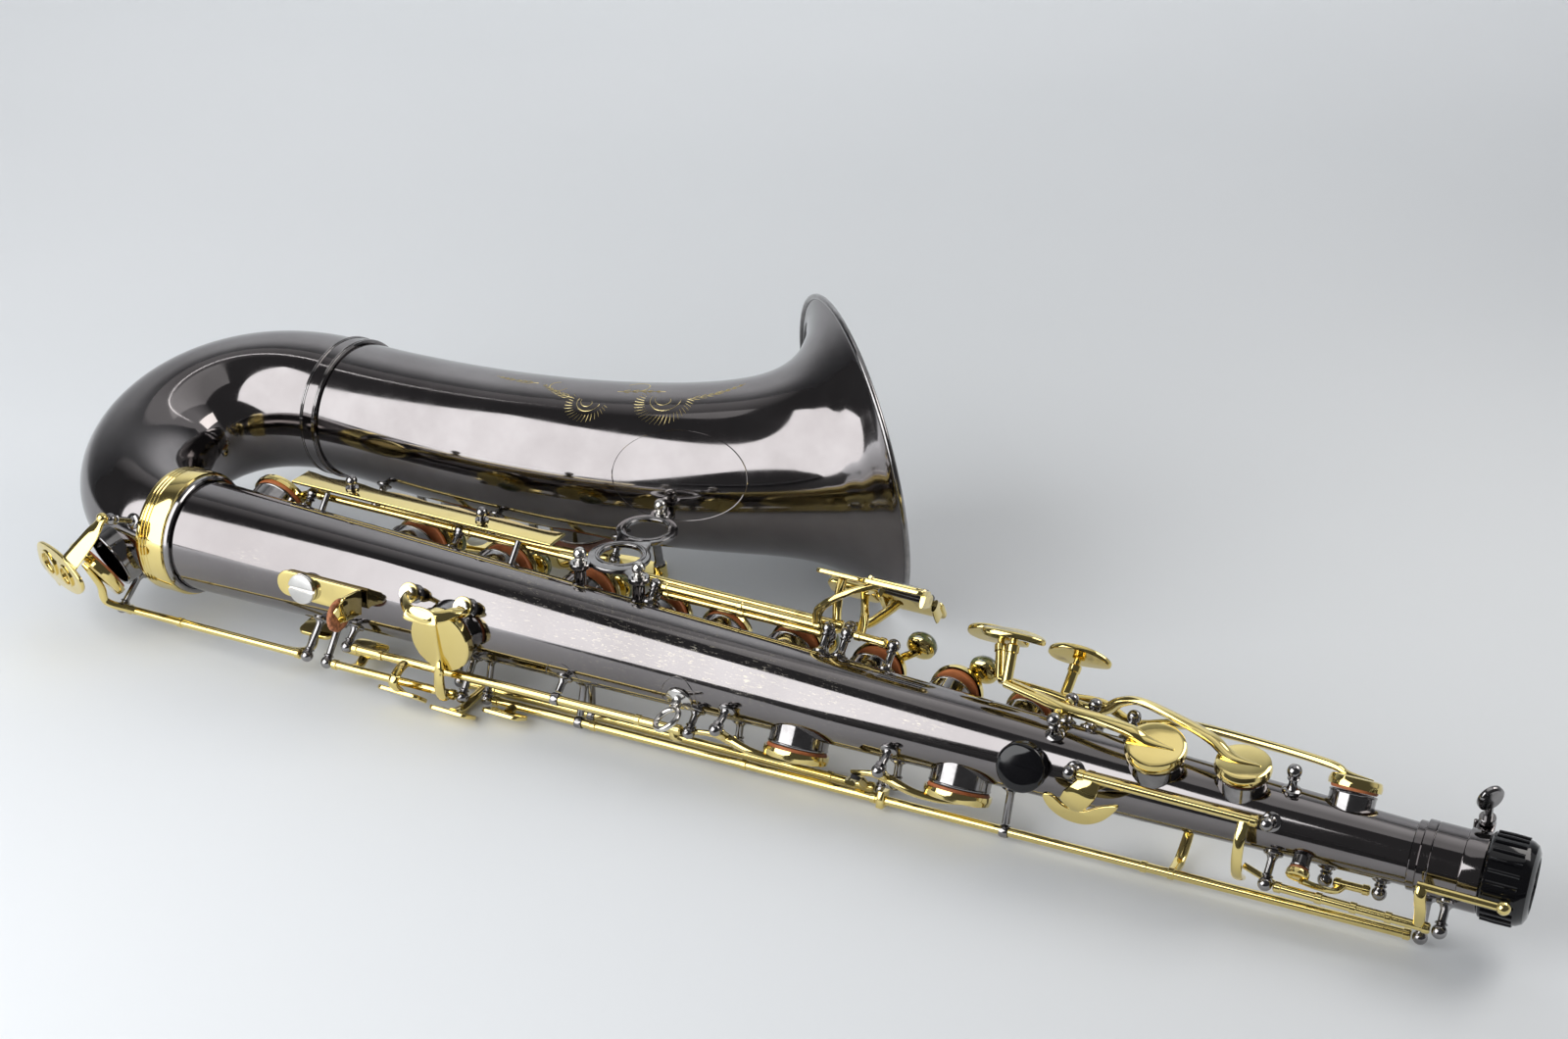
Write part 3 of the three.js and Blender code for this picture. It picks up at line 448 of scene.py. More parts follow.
def worn_nickel():
    """Black nickel of the body: hairlines, and brass showing where it has rubbed."""
    made = polished("black_nickel_body", (0.205, 0.19, 0.19), (0.25, 0.235, 0.235), 0.045, 0.13, 14)
    place = node(made, "ShaderNodeTexCoord")
    gloss = shader_of(made).inputs["Roughness"].links[0].from_socket
    hairs = noise(made, 620, 8, stretch=(0.45, 2, 2), roughness=0.8)
    flakes = spread(made, hairs, 0.56, 0.63, 0, 0.85)
    total = None
    for x, angle, reach, strength in WEAR_SPOTS:
        middle = INSTRUMENT @ on_tube(x, angle, 0)
        spot = node(made, "ShaderNodeVectorMath", {1: middle}, operation="DISTANCE")
        link(made, place, "Object", spot, 0)
        near = spread(made, spot, 0, reach / 1000, strength, 0, "Value")
        worn = node(made, "ShaderNodeMath", operation="MULTIPLY")
        link(made, near, "Result", worn, 0)
        link(made, flakes, "Result", worn, 1)
        if total is None:
            total = worn
            continue
        both = node(made, "ShaderNodeMath", operation="MAXIMUM")
        link(made, total, "Value", both, 0)
        link(made, worn, "Value", both, 1)
        total = both
    stain(made, total, "Value", WORN_COLOR)
    dull = node(made, "ShaderNodeMath", {1: WORN_ROUGHNESS}, operation="MULTIPLY_ADD")
    link(made, total, "Value", dull, 0)
    made.node_tree.links.new(gloss, dull.inputs[2])
    drive(made, dull, 0, "Roughness")
    return made


def leather():
    made = material("pad_leather", (0.5, 0.17, 0.06), 0.55, Specular_IOR_Level=0.35)
    grained(made, 120, 4, 0.3, 0.75, (0.34, 0.1, 0.035), (0.58, 0.2, 0.075))
    relief(made, noise(made, 900, 4), 0.25, 0.0003)
    return made


def cork():
    made = material("cork", (0.42, 0.14, 0.06), 0.8)
    grained(made, 500, 6, 0.4, 0.65, (0.2, 0.07, 0.03), (0.52, 0.2, 0.09))
    relief(made, noise(made, 700, 5), 0.5, 0.0004)
    return made


def abalone():
    made = material("abalone", (0.1, 0.14, 0.12), 0.12, Coat_Weight=1.0)
    waves = noise(made, 160, 3)
    waves.inputs["Distortion"].default_value = 3
    colors = ramp(made, waves, 0.3, 0.7, (0.05, 0.04, 0.02), (0.3, 0.25, 0.11))
    middle = colors.color_ramp.elements.new(0.5)
    middle.color = (0.1, 0.13, 0.05, 1)
    drive(made, colors, "Color", "Base Color")
    return made


def worn_brass(name, patch, dirt):
    """Lacquered brass whose touches have gone brown and green where fingers rest."""
    made = polished(name, (0.82, 0.655, 0.235), (0.88, 0.725, 0.3), 0.07, 0.11, 18, Coat_Weight=0.35)
    stain(made, spread(made, noise(made, patch, 4), 0.56, 0.74, 0, dirt), "Result", (0.3, 0.2, 0.075))
    return made


BODY = worn_nickel()
NICKEL = polished("black_nickel", (0.2, 0.185, 0.185), (0.255, 0.24, 0.24), 0.05, 0.13, 22)
POSTS = polished("post_nickel", (0.27, 0.26, 0.26), (0.36, 0.35, 0.35), 0.07, 0.16, 200)
BRIGHT = polished("bright_nickel", (0.6, 0.585, 0.56), (0.74, 0.72, 0.69), 0.1, 0.24, 120)
BRASS = worn_brass("lacquered_brass", 55, 0.14)
TOUCH = worn_brass("touch_brass", 120, 0.75)
ENGRAVED = polished("engraved_brass", (0.6, 0.48, 0.2), (0.82, 0.69, 0.36), 0.28, 0.45, 300)
LEATHER = leather()
CORK = cork()
PEARL = abalone()
PLASTIC = material("black_plastic", (0.004, 0.004, 0.005), 0.1)
drive(PLASTIC, spread(PLASTIC, noise(PLASTIC, 90, 5), 0.35, 0.7, 0.05, 0.12), "Result", "Roughness")
FELT = material("black_felt", (0.02, 0.02, 0.022), 0.95)
relief(FELT, noise(FELT, 1500, 4), 0.5, 0.0004)

LOOKS_OF_SLOT = {"black_nickel": (BODY, NICKEL, POSTS), "bright_nickel": (BRIGHT,),
                 "lacquered_brass": (BRASS, TOUCH, ENGRAVED), "pad_leather": (LEATHER, CORK),
                 "black_plastic": (PEARL, PLASTIC, FELT)}
SLOTS = {look: slot for slot, looks in LOOKS_OF_SLOT.items() for look in looks}


def finish(shape, name, look, body=None, edge=32):
    """A piece rides on the body of its own name where there is one, and on the horn if none is given."""
    return shape.made(name, look, body or (name if name in frame["bodies"] else "horn"), SLOTS[look], edge)


# ---- parts shared by the keys ----
def turned_piece(name, look, profile, place, segments, body=None, edge=32):
    shape = Shape()
    shape.turned(profile, place, segments)
    finish(shape, name, look, body, edge)


BALL_STEPS = 8


def ball_head(radius, height, low=-52):
    """Profile of a ball, from low degrees below its middle to its top."""
    angles = [low + (90 - low) * k / BALL_STEPS for k in range(BALL_STEPS)]
    return [*arc(0, height, radius, angles), (0, height + radius)]


class Hinge:
    """Line between two post heads; the barrel on it stops short of them."""

    def __init__(self, first, second):
        self.pivot, self.axis = first, (second - first).normalized()
        clear = self.axis * (POST_BALL + GAP + 0.1)
        self.start, self.end = first + clear, second - clear

    def along(self, distance):
        return self.pivot + self.axis * distance


def barrel(shape, hinge, radius=2.1, collars=()):
    """Hinge barrel with a collar near each end and others where asked."""
    start, end, axis = hinge.start, hinge.end, hinge.axis
    shape.rod(start, end, radius, 24)
    for at in (start + axis * 1.8, end - axis * 1.8, *collars):
        shape.rod(at - axis * 1.4, at + axis * 1.4, radius + 0.45, 24)


def cup(shape, place, radius, dome=0.9):
    """Key cup: rolled rim, shallow dish and a ring turned near its edge."""
    base, top = CUP_BASE, CUP_TOP
    profile = [(0, base), (radius - 1.1, base), (radius - 1.1, base - 1.5), (radius - 0.1, base - 1.5),
               (radius + 0.05, base), (radius + 0.05, base + 0.5), (radius - 0.15, base + 1.2),
               (radius - 0.55, top - 0.4), (radius - 1.2, top - 0.05), (radius - 2.2, top + dome * 0.08),
               (radius * 0.5, top + dome * 0.22), (0, top + dome * 0.28)]
    shape.turned(profile, place, 48)


def pad(key, place, radius, hinge=None, opening=0):
    """Leather pad of a key and the metal disc in its middle."""
    name = key.replace("_key", "_pad").replace("_cup", "_pad")
    r = radius - 1.4
    shape = Shape()
    shape.turned([(0, SEAT + 0.3), (r * 0.82, SEAT + 0.3), (r * 0.86, SEAT + 0.05), (r - 0.4, SEAT + 0.15),
                  (r, SEAT + 0.9), (r, SEAT + PAD_THICK), (0, SEAT + PAD_THICK)], place, 48)
    swing(shape, hinge, opening)
    finish(shape, name, LEATHER, key, 50)
    reflector = Shape()
    reflector.turned([(0, SEAT + 0.25), (0, SEAT + 0.02), (radius * 0.12, SEAT + 0.02),
                      (radius * 0.5, SEAT + 0.14), (radius * 0.52, SEAT + 0.35), (0, SEAT + 0.35)], place, 32)
    swing(reflector, hinge, opening)
    finish(reflector, name + "_reflector", BRIGHT, key)


def swing(shape, hinge, opening):
    """Turn what is drawn so far about a hinge line, by degrees."""
    if opening:
        pivot = Matrix.Translation(hinge.pivot)
        shape.mesh.transform(pivot @ rotation(opening, hinge.axis) @ pivot.inverted())


def radial(point):
    """Outward direction from the body tube's axis."""
    return vec(0, point.y, point.z).normalized()


def arm(shape, points, sizes, up=radial):
    """Key arm; a point is a vector, (x, angle, height) on the tube or (pipe, station, angle, height)."""
    through = [p if isinstance(p, Vector) else on_tube(*p) if len(p) == 3 else on(*p) for p in points]
    shape.sweep(through, sizes if isinstance(sizes, list) else [sizes] * len(points), up)


def paddle(shape, size, spot, bevel=0.6, thickness=2.2):
    """Flat touch above the tube: (length, width, corner) at (x, angle, height)."""
    shape.plate([rounded(*size)], thickness, frame_on(tube, *spot), bevel)


def oval(length, width, pinch):
    return [(length / 2 * cos(a), width / 2 * sin(a) * (1 - pinch * cos(a)))
            for a in round_turn(40)]


def rounded(length, width, radius, count=6):
    points = []
    for cx, cy, start in ((1, 1, 0), (-1, 1, 90), (-1, -1, 180), (1, -1, 270)):
        for k in range(count + 1):
            a = radians(start + 90 * k / count)
            points.append((cx * (length / 2 - radius) + radius * cos(a),
                           cy * (width / 2 - radius) + radius * sin(a)))
    return points


def circle(x, y, radius, count=32):
    return [(x + radius * cos(a), y + radius * sin(a)) for a in round_turn(count)]


def arc(x, y, radius, angles):
    return [(x + radius * cos(radians(a)), y + radius * sin(radians(a))) for a in angles]


def smooth_outline(points, steps=6):
    """Closed Catmull-Rom curve through points."""
    n = len(points)
    spans = [[Vector(points[(i + k - 1) % n]) for k in range(4)] for i in range(n)]
    return [tuple(catmull(*span, s / steps)) for span in spans for s in range(steps)]


def slotted(shape, place, radius, thickness, slot):
    """Slotted screw head: two half discs over a base."""
    shape.turned([(0, 0), (radius, 0), (radius, thickness * 0.6), (0, thickness * 0.6)], place, 28)
    for side in (-1, 1):
        outline = []
        gap = asin(slot / 2 / radius)
        for k in range(21):
            a = gap + (pi - 2 * gap) * k / 20
            outline.append((radius * 0.98 * cos(a), side * radius * 0.98 * sin(a)))
        shape.plate([outline], thickness * 0.6, shifted(place, 0, 0, thickness * 0.8), 0.15)


# ---- body, bow and bell ----
PIPES = {"tube": tube, "bow": bow_pipe, "bell": bell_pipe, "receiver": receiver_pipe}
TONE_HOLES = {owner: [] for owner in PIPES}
CHIMNEYS = {owner: Shape() for owner in PIPES}
POSTS_OF = {owner: Shape() for owner in PIPES}


def tone_hole(owner, station, angle, radius):
    """Drawn chimney with a rolled lip; the wall is cut through later."""
    place = frame_on(PIPES[owner], station, angle)
    foot, bore, lip = -radius * 0.55, radius - WALL, CHIMNEY_LIFT
    CHIMNEYS[owner].turned([
        (bore, foot), (radius + 0.1, foot), (radius + 0.1, lip - 1.1), (radius + 0.3, lip - 0.9),
        (radius + 0.4, lip - 0.5), (radius + 0.25, lip - 0.1), (radius, lip), (bore + 0.2, lip),
        (bore, lip - 0.3), (bore, foot)], place, 64)
    TONE_HOLES[owner].append((place, radius))
    return place


def add_post(owner, station, angle, height):
    """Turned post with a ball head; returns the middle of the ball."""
    foot, stem, pipe = POST_FOOT, POST_STEM, PIPES[owner]
    profile = [(0, -1.5), (foot, -1.5), (foot, 0.5), (foot - 0.4, 0.9), (stem + 0.9, 1.3), (stem + 0.3, 2.2),
               (stem, 3.2), (stem, height - 4.2), (stem + 0.8, height - 3.5), (stem + 0.8, height - 3.1),
               (stem + 0.1, height - 2.7), *ball_head(POST_BALL, height)]
    POSTS_OF[owner].turned(profile, frame_on(pipe, station, angle), 24)
    return on(pipe, station, angle, height)


def tube_post(x, angle, height):
    return add_post("tube", x, angle, height)


def ring_of(pipe, station, depth, segments):
    centre, along, radius = pipe.at(station)
    side = vec(along.y, -along.x)
    reach = radius - depth
    return [centre + side * (reach * sin(2 * pi * k / segments))
            + vec(0, 0, reach * cos(2 * pi * k / segments)) for k in range(segments)]


def pipe_wall(name, owner, stations, segments):
    """Shell of a pipe with its tone holes cut through."""
    pipe = PIPES[owner]
    shell = Shape()
    rings = [ring_of(pipe, u, 0, segments) for u in stations]
    rings += [ring_of(pipe, u, WALL, segments) for u in reversed(stations)]
    shell.rings(rings, closed=True)
    piece = finish(shell, name, BODY if owner == "tube" else NICKEL)
    cutter = Shape()
    for place, radius in TONE_HOLES[owner]:
        cutter.turned([(0, -radius * 0.9 - 4), (radius - 0.5, -radius * 0.9 - 4), (radius - 0.5, 6), (0, 6)],
                      place, 48)
    bmesh.ops.recalc_face_normals(cutter.mesh, faces=cutter.mesh.faces)
    cutter.mesh.transform(INSTRUMENT)
    tool = placed("cutter", mesh_of(cutter.mesh, "cutter"))
    cut = piece.modifiers.new("tone_holes", "BOOLEAN")
    cut.operation, cut.solver, cut.object = "DIFFERENCE", "EXACT", tool
    bored = evaluated_mesh(piece)
    piece.modifiers.remove(cut)
    piece.data = bored
    bpy.data.objects.remove(tool)


def joint_ring(name, look, pipe_place, inner, profile):
    turned_piece(name, look, [(inner, profile[0][1]), *profile, (inner, profile[-1][1]),
                 (inner, profile[0][1])], pipe_place, 96, edge=20)


def grooved(outer, back, front, grooves, depth):
    """Outside of a ring: rounded ends and turned grooves."""
    profile = [(outer - 1.1, back), (outer - 0.25, back + 0.35), (outer, back + 1.1)]
    for g in grooves:
        profile += [(outer, g - 0.55), (outer - depth, g - 0.2), (outer - depth, g + 0.2), (outer, g + 0.55)]
    return [*profile, (outer, front - 1.1), (outer - 0.25, front - 0.35), (outer - 1.1, front)]


along_tube = towards(vec(0, 0), vec(1, 0))
joint_ring("body_bow_ring", BRASS, along_tube, TUBE_RADIUS + 0.6,
           grooved(TUBE_RADIUS + 3.7, -7.4, 9.3, (-4.4, -2.4, -0.4), 0.5))
turned_piece("body_bow_ring_lip", POSTS, [(28.6, 9.2), (30.6, 9.2), (30.9, 9.7), (30.7, 11.4), (29.8, 12),
             (28.6, 12), (28.6, 9.2)], along_tube, 96, edge=20)
bell_joint, bell_along, _ = bell_pipe.at(0)
joint_ring("bell_bow_ring", NICKEL, towards(bell_joint, bell_along), BELL_RADIUS + 0.2,
           [(BELL_RADIUS + out, at) for out, at in ((0.9, -6), (1.5, -5.4), (1.6, 4.6), (0.9, 5.2))])
beads = Shape()
BEAD = ((1.4, -0.4), (1.85, -0.3), (2, 0), (1.85, 0.3), (1.4, 0.4), (1.4, -0.4))
for at in (-5, -3.9, 3, 4.1):
    beads.turned([(BELL_RADIUS + out, at + lift) for out, lift in BEAD], towards(bell_joint, bell_along), 112)
finish(beads, "bell_bow_beads", POSTS, edge=20)

# rim of the bell: rolled bead, lighter than the pipe
rim_centre, rim_along, rim_radius = bell_pipe.at(1)
rim_bead = circle(rim_radius, -0.2, 1.5, 16)
turned_piece("bell_rim", POSTS, [*rim_bead, rim_bead[0]], towards(rim_centre, rim_along), 128, edge=60)

# ---- keys on the lower body ----
LOW_C_HOLE, LOW_C_OPEN = 16, 11
low_c = Hinge(add_post("bow", 0.925, 127, 19.5), tube_post(96, 122, 19.5))
seat = tone_hole("bow", 0.905, 97, LOW_C_HOLE)


def open_key(name, hinge, opening, place, radius, build):
    """A key that stands open: drawn shut, then swung about its hinge."""
    shape = Shape()
    cup(shape, place, radius)
    build(shape)
    swing(shape, hinge, opening)
    finish(shape, name, BRASS)
    pad(name, place, radius, hinge, opening)


def build_low_c(shape):
    barrel(shape, low_c, 2.1, [low_c.along(40)])
    arm(shape, [low_c.along(9), (bow_pipe, 0.92, 116, 19), (bow_pipe, 0.915, 106, 13.5),
                seat @ vec(0, 6, 11.2), seat @ vec(-1, -10, 10.8)],
        [(5, 4.2), (5.4, 4), (5.2, 3.6), (4.6, 2.4), (1.2, 0.8)], outward(bow_pipe, 0.91, 100))
    arm(shape, [low_c.along(88), (84, 140, 20), (82, 156, 14.6)], (5, 3))
    paddle(shape, (20, 15, 4), (82, 162, 14.5), 0.5)


open_key("low_c_key", low_c, LOW_C_OPEN, seat, LOW_C_HOLE + CUP_LAP, build_low_c)

LOW_EB_HOLE = 14.6
low_eb = Hinge(tube_post(105, 128, 19.8), tube_post(184, 128, 19.8))
eb_seat = tone_hole("tube", 178, 80, LOW_EB_HOLE)


def build_low_eb(shape):
    barrel(shape, low_eb)
    arm(shape, [low_eb.along(71), (177, 121, 22.5), (178, 110, 19.5), (178, 101, 15),
                eb_seat @ vec(-0.5, -8, 11), eb_seat @ vec(-1, 3, 10.9), eb_seat @ vec(-1, 13, 10.4)],
        [(5.4, 4), (5.6, 4), (5.4, 3.6), (4.6, 3.4), (2.8, 2.6), (2, 1.8), (0.9, 0.7)])
    arm(shape, [low_eb.along(10), (114, 146, 19), (112, 158, 14.6)], (5, 3))
    paddle(shape, (20, 15, 4), (110, 163, 14.5), 0.5)


def flat_cup(shape, place, radius):
    """Plain flat-topped cup with a sharp edge."""
    base, top = CUP_BASE, CUP_TOP
    shape.turned([(0, base), (radius - 1.1, base), (radius - 1.1, base - 1.5), (radius - 0.1, base - 1.5),
                  (radius, base), (radius, top - 0.7), (radius - 0.5, top - 0.15), (radius - 1.1, top),
                  (0, top)], place, 56)


eb = Shape()
flat_cup(eb, eb_seat, LOW_EB_HOLE + CUP_LAP)
build_low_eb(eb)
finish(eb, "low_eb_key", BRASS)
pad("low_eb_key", eb_seat, LOW_EB_HOLE + CUP_LAP)

# low C sharp
CS_ANGLE, CS_REACH = -64, 35.4


def reach_post(x, angle, reach):
    return tube_post(x, angle, reach - tube.at(x)[2])


low_cs = Hinge(reach_post(60, CS_ANGLE, CS_REACH), reach_post(362, CS_ANGLE, CS_REACH))
reach_post(150, CS_ANGLE, CS_REACH)
LOW_CS_HOLE = 14
cs_seat = tone_hole("tube", 34, -86, LOW_CS_HOLE)
cs = Shape()
cup(cs, cs_seat, LOW_CS_HOLE + CUP_LAP)
barrel(cs, low_cs, 1.9, [low_cs.along(85), low_cs.along(95)])
arm(cs, [low_cs.along(10), (60, -72, 13.5), (48, -80, 11.6), cs_seat @ vec(-3, 0, 10.7)],
    [(4.6, 3.6), (4.8, 3.4), (4.4, 3), (1.4, 1)])
arm(cs, [low_cs.along(295), (354, -57, 24), (356, -48, 34.6)], (4.4, 3))
paddle(cs, (25, 13, 4), (356.6, -47.5, 35.3))
finish(cs, "low_cs_key", TOUCH)
pad("low_cs_key", cs_seat, LOW_CS_HOLE + CUP_LAP)

# left-hand little-finger table
TABLE_HEIGHT, TABLE_STATION = 37, 385


def table_touch(name, angle, reach, touch_angle, roller_angle, route):
    hinge = Hinge(reach_post(264, angle, reach), reach_post(354, angle, reach))
    shape = Shape()
    barrel(shape, hinge, 1.9, [hinge.along(45)])
    arm(shape, [hinge.along(84), *route, (378, touch_angle, TABLE_HEIGHT - 0.6)], (4.6, 3.2))
    place = frame_on(tube, TABLE_STATION, touch_angle, TABLE_HEIGHT)
    shape.plate([rounded(30, 12.5, 3)], 2.4, place, 0.6)
    shape.plate([rounded(24, 7, 2)], 0.8, shifted(place, 0, 0, 1.4), 0.3)
    for shift in (-13.2, 13.2):
        ends = [on_tube(TABLE_STATION + shift, a, TABLE_HEIGHT - 2.2) for a in (touch_angle, roller_angle)]
        arm(shape, [ends[0], (ends[0] + ends[1]) / 2, ends[1]], [(2.2, 8.5), (2.2, 8), (2.2, 6)])
    finish(shape, name, TOUCH)
    ends = [on_tube(TABLE_STATION + s, roller_angle, TABLE_HEIGHT) for s in (-11.6, 11.6)]
    length = (ends[1] - ends[0]).length
    profile = [(0, 0), (2, 0), (2.5, 0.6), (2.65, length * 0.3), (2.65, length * 0.7), (2.5, length - 0.6),
               (2, length), (0, length)]
    turned_piece(name.replace("_touch", "_roller"), PLASTIC, profile, towards(ends[0], ends[1] - ends[0]), 24)


table_touch("low_b_touch", -56, 31.5, -40, -51, [(350, -44, 18), (358, -38, 25), (367, -37, 31)])
table_touch("low_bb_touch", -64, 29.5, -70, -59,
            [(350, -77, 14), (355, -81, 21), (363, -83, 27), (372, -76, 33)])

sharp = Hinge(tube_post(363, -58, 12), tube_post(386, -58, 12))
gs = Shape()
barrel(gs, sharp, 1.9)
arm(gs, [sharp.along(6), (367, -63, 22), (362, -66, 33.5)], (4.4, 3))
paddle(gs, (25, 13.5, 4), (356.6, -66, 34.2))
finish(gs, "g_sharp_touch", TOUCH)

# ---- finger stacks ----
STACK_HINGE, STACK_LIFT, STACK_OPEN = 215, 10, -11


def stack_key(name, start, end, x, angle, hole, opening=STACK_OPEN, pearl=None):
    hinge = Hinge(on_tube(start, STACK_HINGE, STACK_LIFT), on_tube(end, STACK_HINGE, STACK_LIFT))
    place = tone_hole("tube", x, angle, hole)

    def build(shape):
        barrel(shape, hinge)
        arm(shape, [(x, STACK_HINGE, STACK_LIFT), (x, STACK_HINGE + 14, 15), (x, angle - 18, 14),
                    place @ vec(0, 0, CROWN), place @ vec(0, hole * -0.6, 10.6)],
            [(5.2, 3.6), (5.4, 3.4), (5, 3.2), (3.6, 2.4), (1, 0.8)])
        if pearl:
            px, pa, ph = pearl
            arm(shape, [place @ vec(0, 0, CROWN), ((x + px) / 2, angle + 10, 13.5), pearl], (3.8, 3))
            shape.turned([(0, 0.3), (4.6, 0.3), (6, 0.9), (6.7, 1.7), (6.3, 2.1), (0, 2.1)],
                         frame_on(tube, px, pa, ph), 36)

    open_key(name, hinge, opening, place, hole + CUP_LAP, build)
    if pearl:
        stone = Shape()
        stone.turned([(0, 2.2), (6.2, 2.2), (6.9, 2.9), (7.2, 3.9), (7, 5.2), (6, 6.8), (4, 8.1), (1.8, 8.7),
                      (0, 8.75)], frame_on(tube, *pearl), 48)
        swing(stone, hinge, opening)
        finish(stone, name + "_pearl", PEARL, name)


for x in (93, 145, 197, 243, 284, 312, 354, 395, 433, 470):
    tube_post(x, STACK_HINGE, STACK_LIFT)
stack_key("d_key", 93, 145, 119, 260, 15.5, pearl=(128, 262, 17))
stack_key("e_key", 145, 197, 171, 260, 15, pearl=(180, 262, 17))
stack_key("f_key", 197, 243, 220, 260, 14, pearl=(228, 262, 17))
stack_key("f_sharp_key", 243, 284, 262, 260, 12.5)
stack_key("g_key", 312, 354, 333, 264, 12, pearl=(342, 266, 15))
stack_key("a_key", 354, 395, 375, 264, 12, pearl=(392, 284, 15))
stack_key("b_key", 395, 433, 414, 264, 11, pearl=(424, 282, 12))
stack_key("c_key", 433, 470, 450, 264, 10)
stack_key("g_sharp_key", 284, 312, 298, 264, 11.5, opening=0)


# ---- right-hand side keys ----
def side_touch(name, angle, height, start, end, passing, touch, route, fork):
    hinge = Hinge(tube_post(start, angle, height), tube_post(end, angle, height))
    for x in passing:
        through_post(x, angle, height)
    x, touch_angle, length, touch_height = touch
    shape = Shape()
    barrel(shape, hinge, 2.1, [on_tube(p, angle, height) for p in (start + 20, end - 26)])
    arm(shape, [(x, angle, height), *[(x, *p) for p in route], (x, touch_angle, touch_height - 0.2)],
        (5, 3.2))
    paddle(shape, (length, 13, 3.5), (x, touch_angle, touch_height))
    arm(shape, fork, [(5, 3)] * (len(fork) - 1) + [(5, 2)])
    finish(shape, name, BRASS)


def through_post(x, angle, height):
    """Post whose head is a sleeve round a passing rod."""
    shape = POSTS_OF["tube"]
    place = frame_on(tube, x, angle)
    shape.turned([(0, -1.5), (4.2, -1.5), (4.2, 0.5), (3.8, 0.9), (2.6, 1.3), (2, 2.2), (1.8, 3.2),
                  (1.8, height - 3.6), (0, height - 3.4)], place, 24)
    head = towards(on_tube(x - 1.9, angle, height), vec(1, 0))
    shape.turned([(2.35, 0), (2.7, 0), (3, 0.9), (3, 2.9), (2.7, 3.8), (2.35, 3.8), (2.35, 0)], head, 28)


side_touch("side_bb_touch", 117, 11, 118, 306, [236], (153, 126, 24, 25.6), [(112, 17), (113, 24)],
           [(299, 117, 11), (299, 121, 14), (301, 125, 14.5)])
side_touch("side_c_touch", 166, 20.9, 164, 392, [240], (179, 133, 22, 28), [(150, 23), (141, 26.4)],
           [(384, 166, 20.9), (384, 152, 13), (384, 136, 13), (386, 125, 14.5)])


def side_cup(name, pivot, x, hole, tip):
    hinge = Hinge(tube_post(pivot, 97, 11.5), tube_post(pivot, 151, 11.5))
    place = tone_hole("tube", x, 138, hole)
    shape = Shape()
    cup(shape, place, hole + CUP_LAP, dome=1.6)
    barrel(shape, hinge, 1.9)
    arm(shape, [(tip, 126, 9.5), (pivot - 8, 125, 8.2), (pivot, 124, 8.6),
                (pivot + 12, 128, 11.4), (x - 8, 134, 11.9), (x, 138, 11.2),
                (x + 9, 140, 10.6)],
        [(8, 2.2), (7, 2.6), (6, 4.4), (5.6, 3.6), (4.6, 3), (3.4, 2.4), (0.9, 0.8)])
    finish(shape, name, BRASS)
    pad(name, place, hole + CUP_LAP)
    turned_piece(name + "_felt", FELT, [(0, 0), (2.2, 0), (2.2, 1.8), (0, 1.8)],
                 frame_on(tube, tip + 1.5, 126, 10.6), 20, name)


side_cup("side_bb_cup", 323, 355, 13.6, 303)
side_cup("side_c_cup", 402, 433, 13.6, 386)

# ---- high E ----
HIGH_E_ANGLE, HIGH_E_HEIGHT, HIGH_E_HOLE = 150, 20, 10
high_top = add_post("receiver", 633, HIGH_E_ANGLE, tube.at(633)[2] + HIGH_E_HEIGHT - RECEIVER_RADIUS)
high_e = Hinge(tube_post(188, HIGH_E_ANGLE, HIGH_E_HEIGHT), high_top)
for x in (240, 455):
    through_post(x, HIGH_E_ANGLE, HIGH_E_HEIGHT)
high_seat = tone_hole("tube", 530, 212, HIGH_E_HOLE)
he = Shape()
cup(he, high_seat, HIGH_E_HOLE + CUP_LAP)
barrel(he, high_e, 2.1, [high_e.along(d) for d in (60, 140, 205, 330, 342)])
arm(he, [(530, 150, 20), (530, 170, 19), (530, 195, 14), (530, 212, 11.2)],
    [(5, 3.4), (5, 3.4), (4.4, 3), (1.6, 1)])
arm(he, [(204, 150, 20), (204, 143, 22.6)], (5, 3.2))
paddle(he, (21, 13, 3.5), (204, 139, 23))
paddle(he, (3.6, 7, 1), (397, 150, 19.4), 0.4, 8)
finish(he, "high_e_key", BRASS)
pad("high_e_key", high_seat, HIGH_E_HOLE + CUP_LAP)


# ---- palm keys ----
PALM_LENGTH, PALM_WIDTH = 29, 17
PALM_CROWN, PALM_CROWN_ACROSS = 2.4, 1.4


def palm_bend(x, y):
    return -PALM_CROWN * (2 * x / PALM_LENGTH) ** 2 - PALM_CROWN_ACROSS * (2 * y / PALM_WIDTH) ** 2


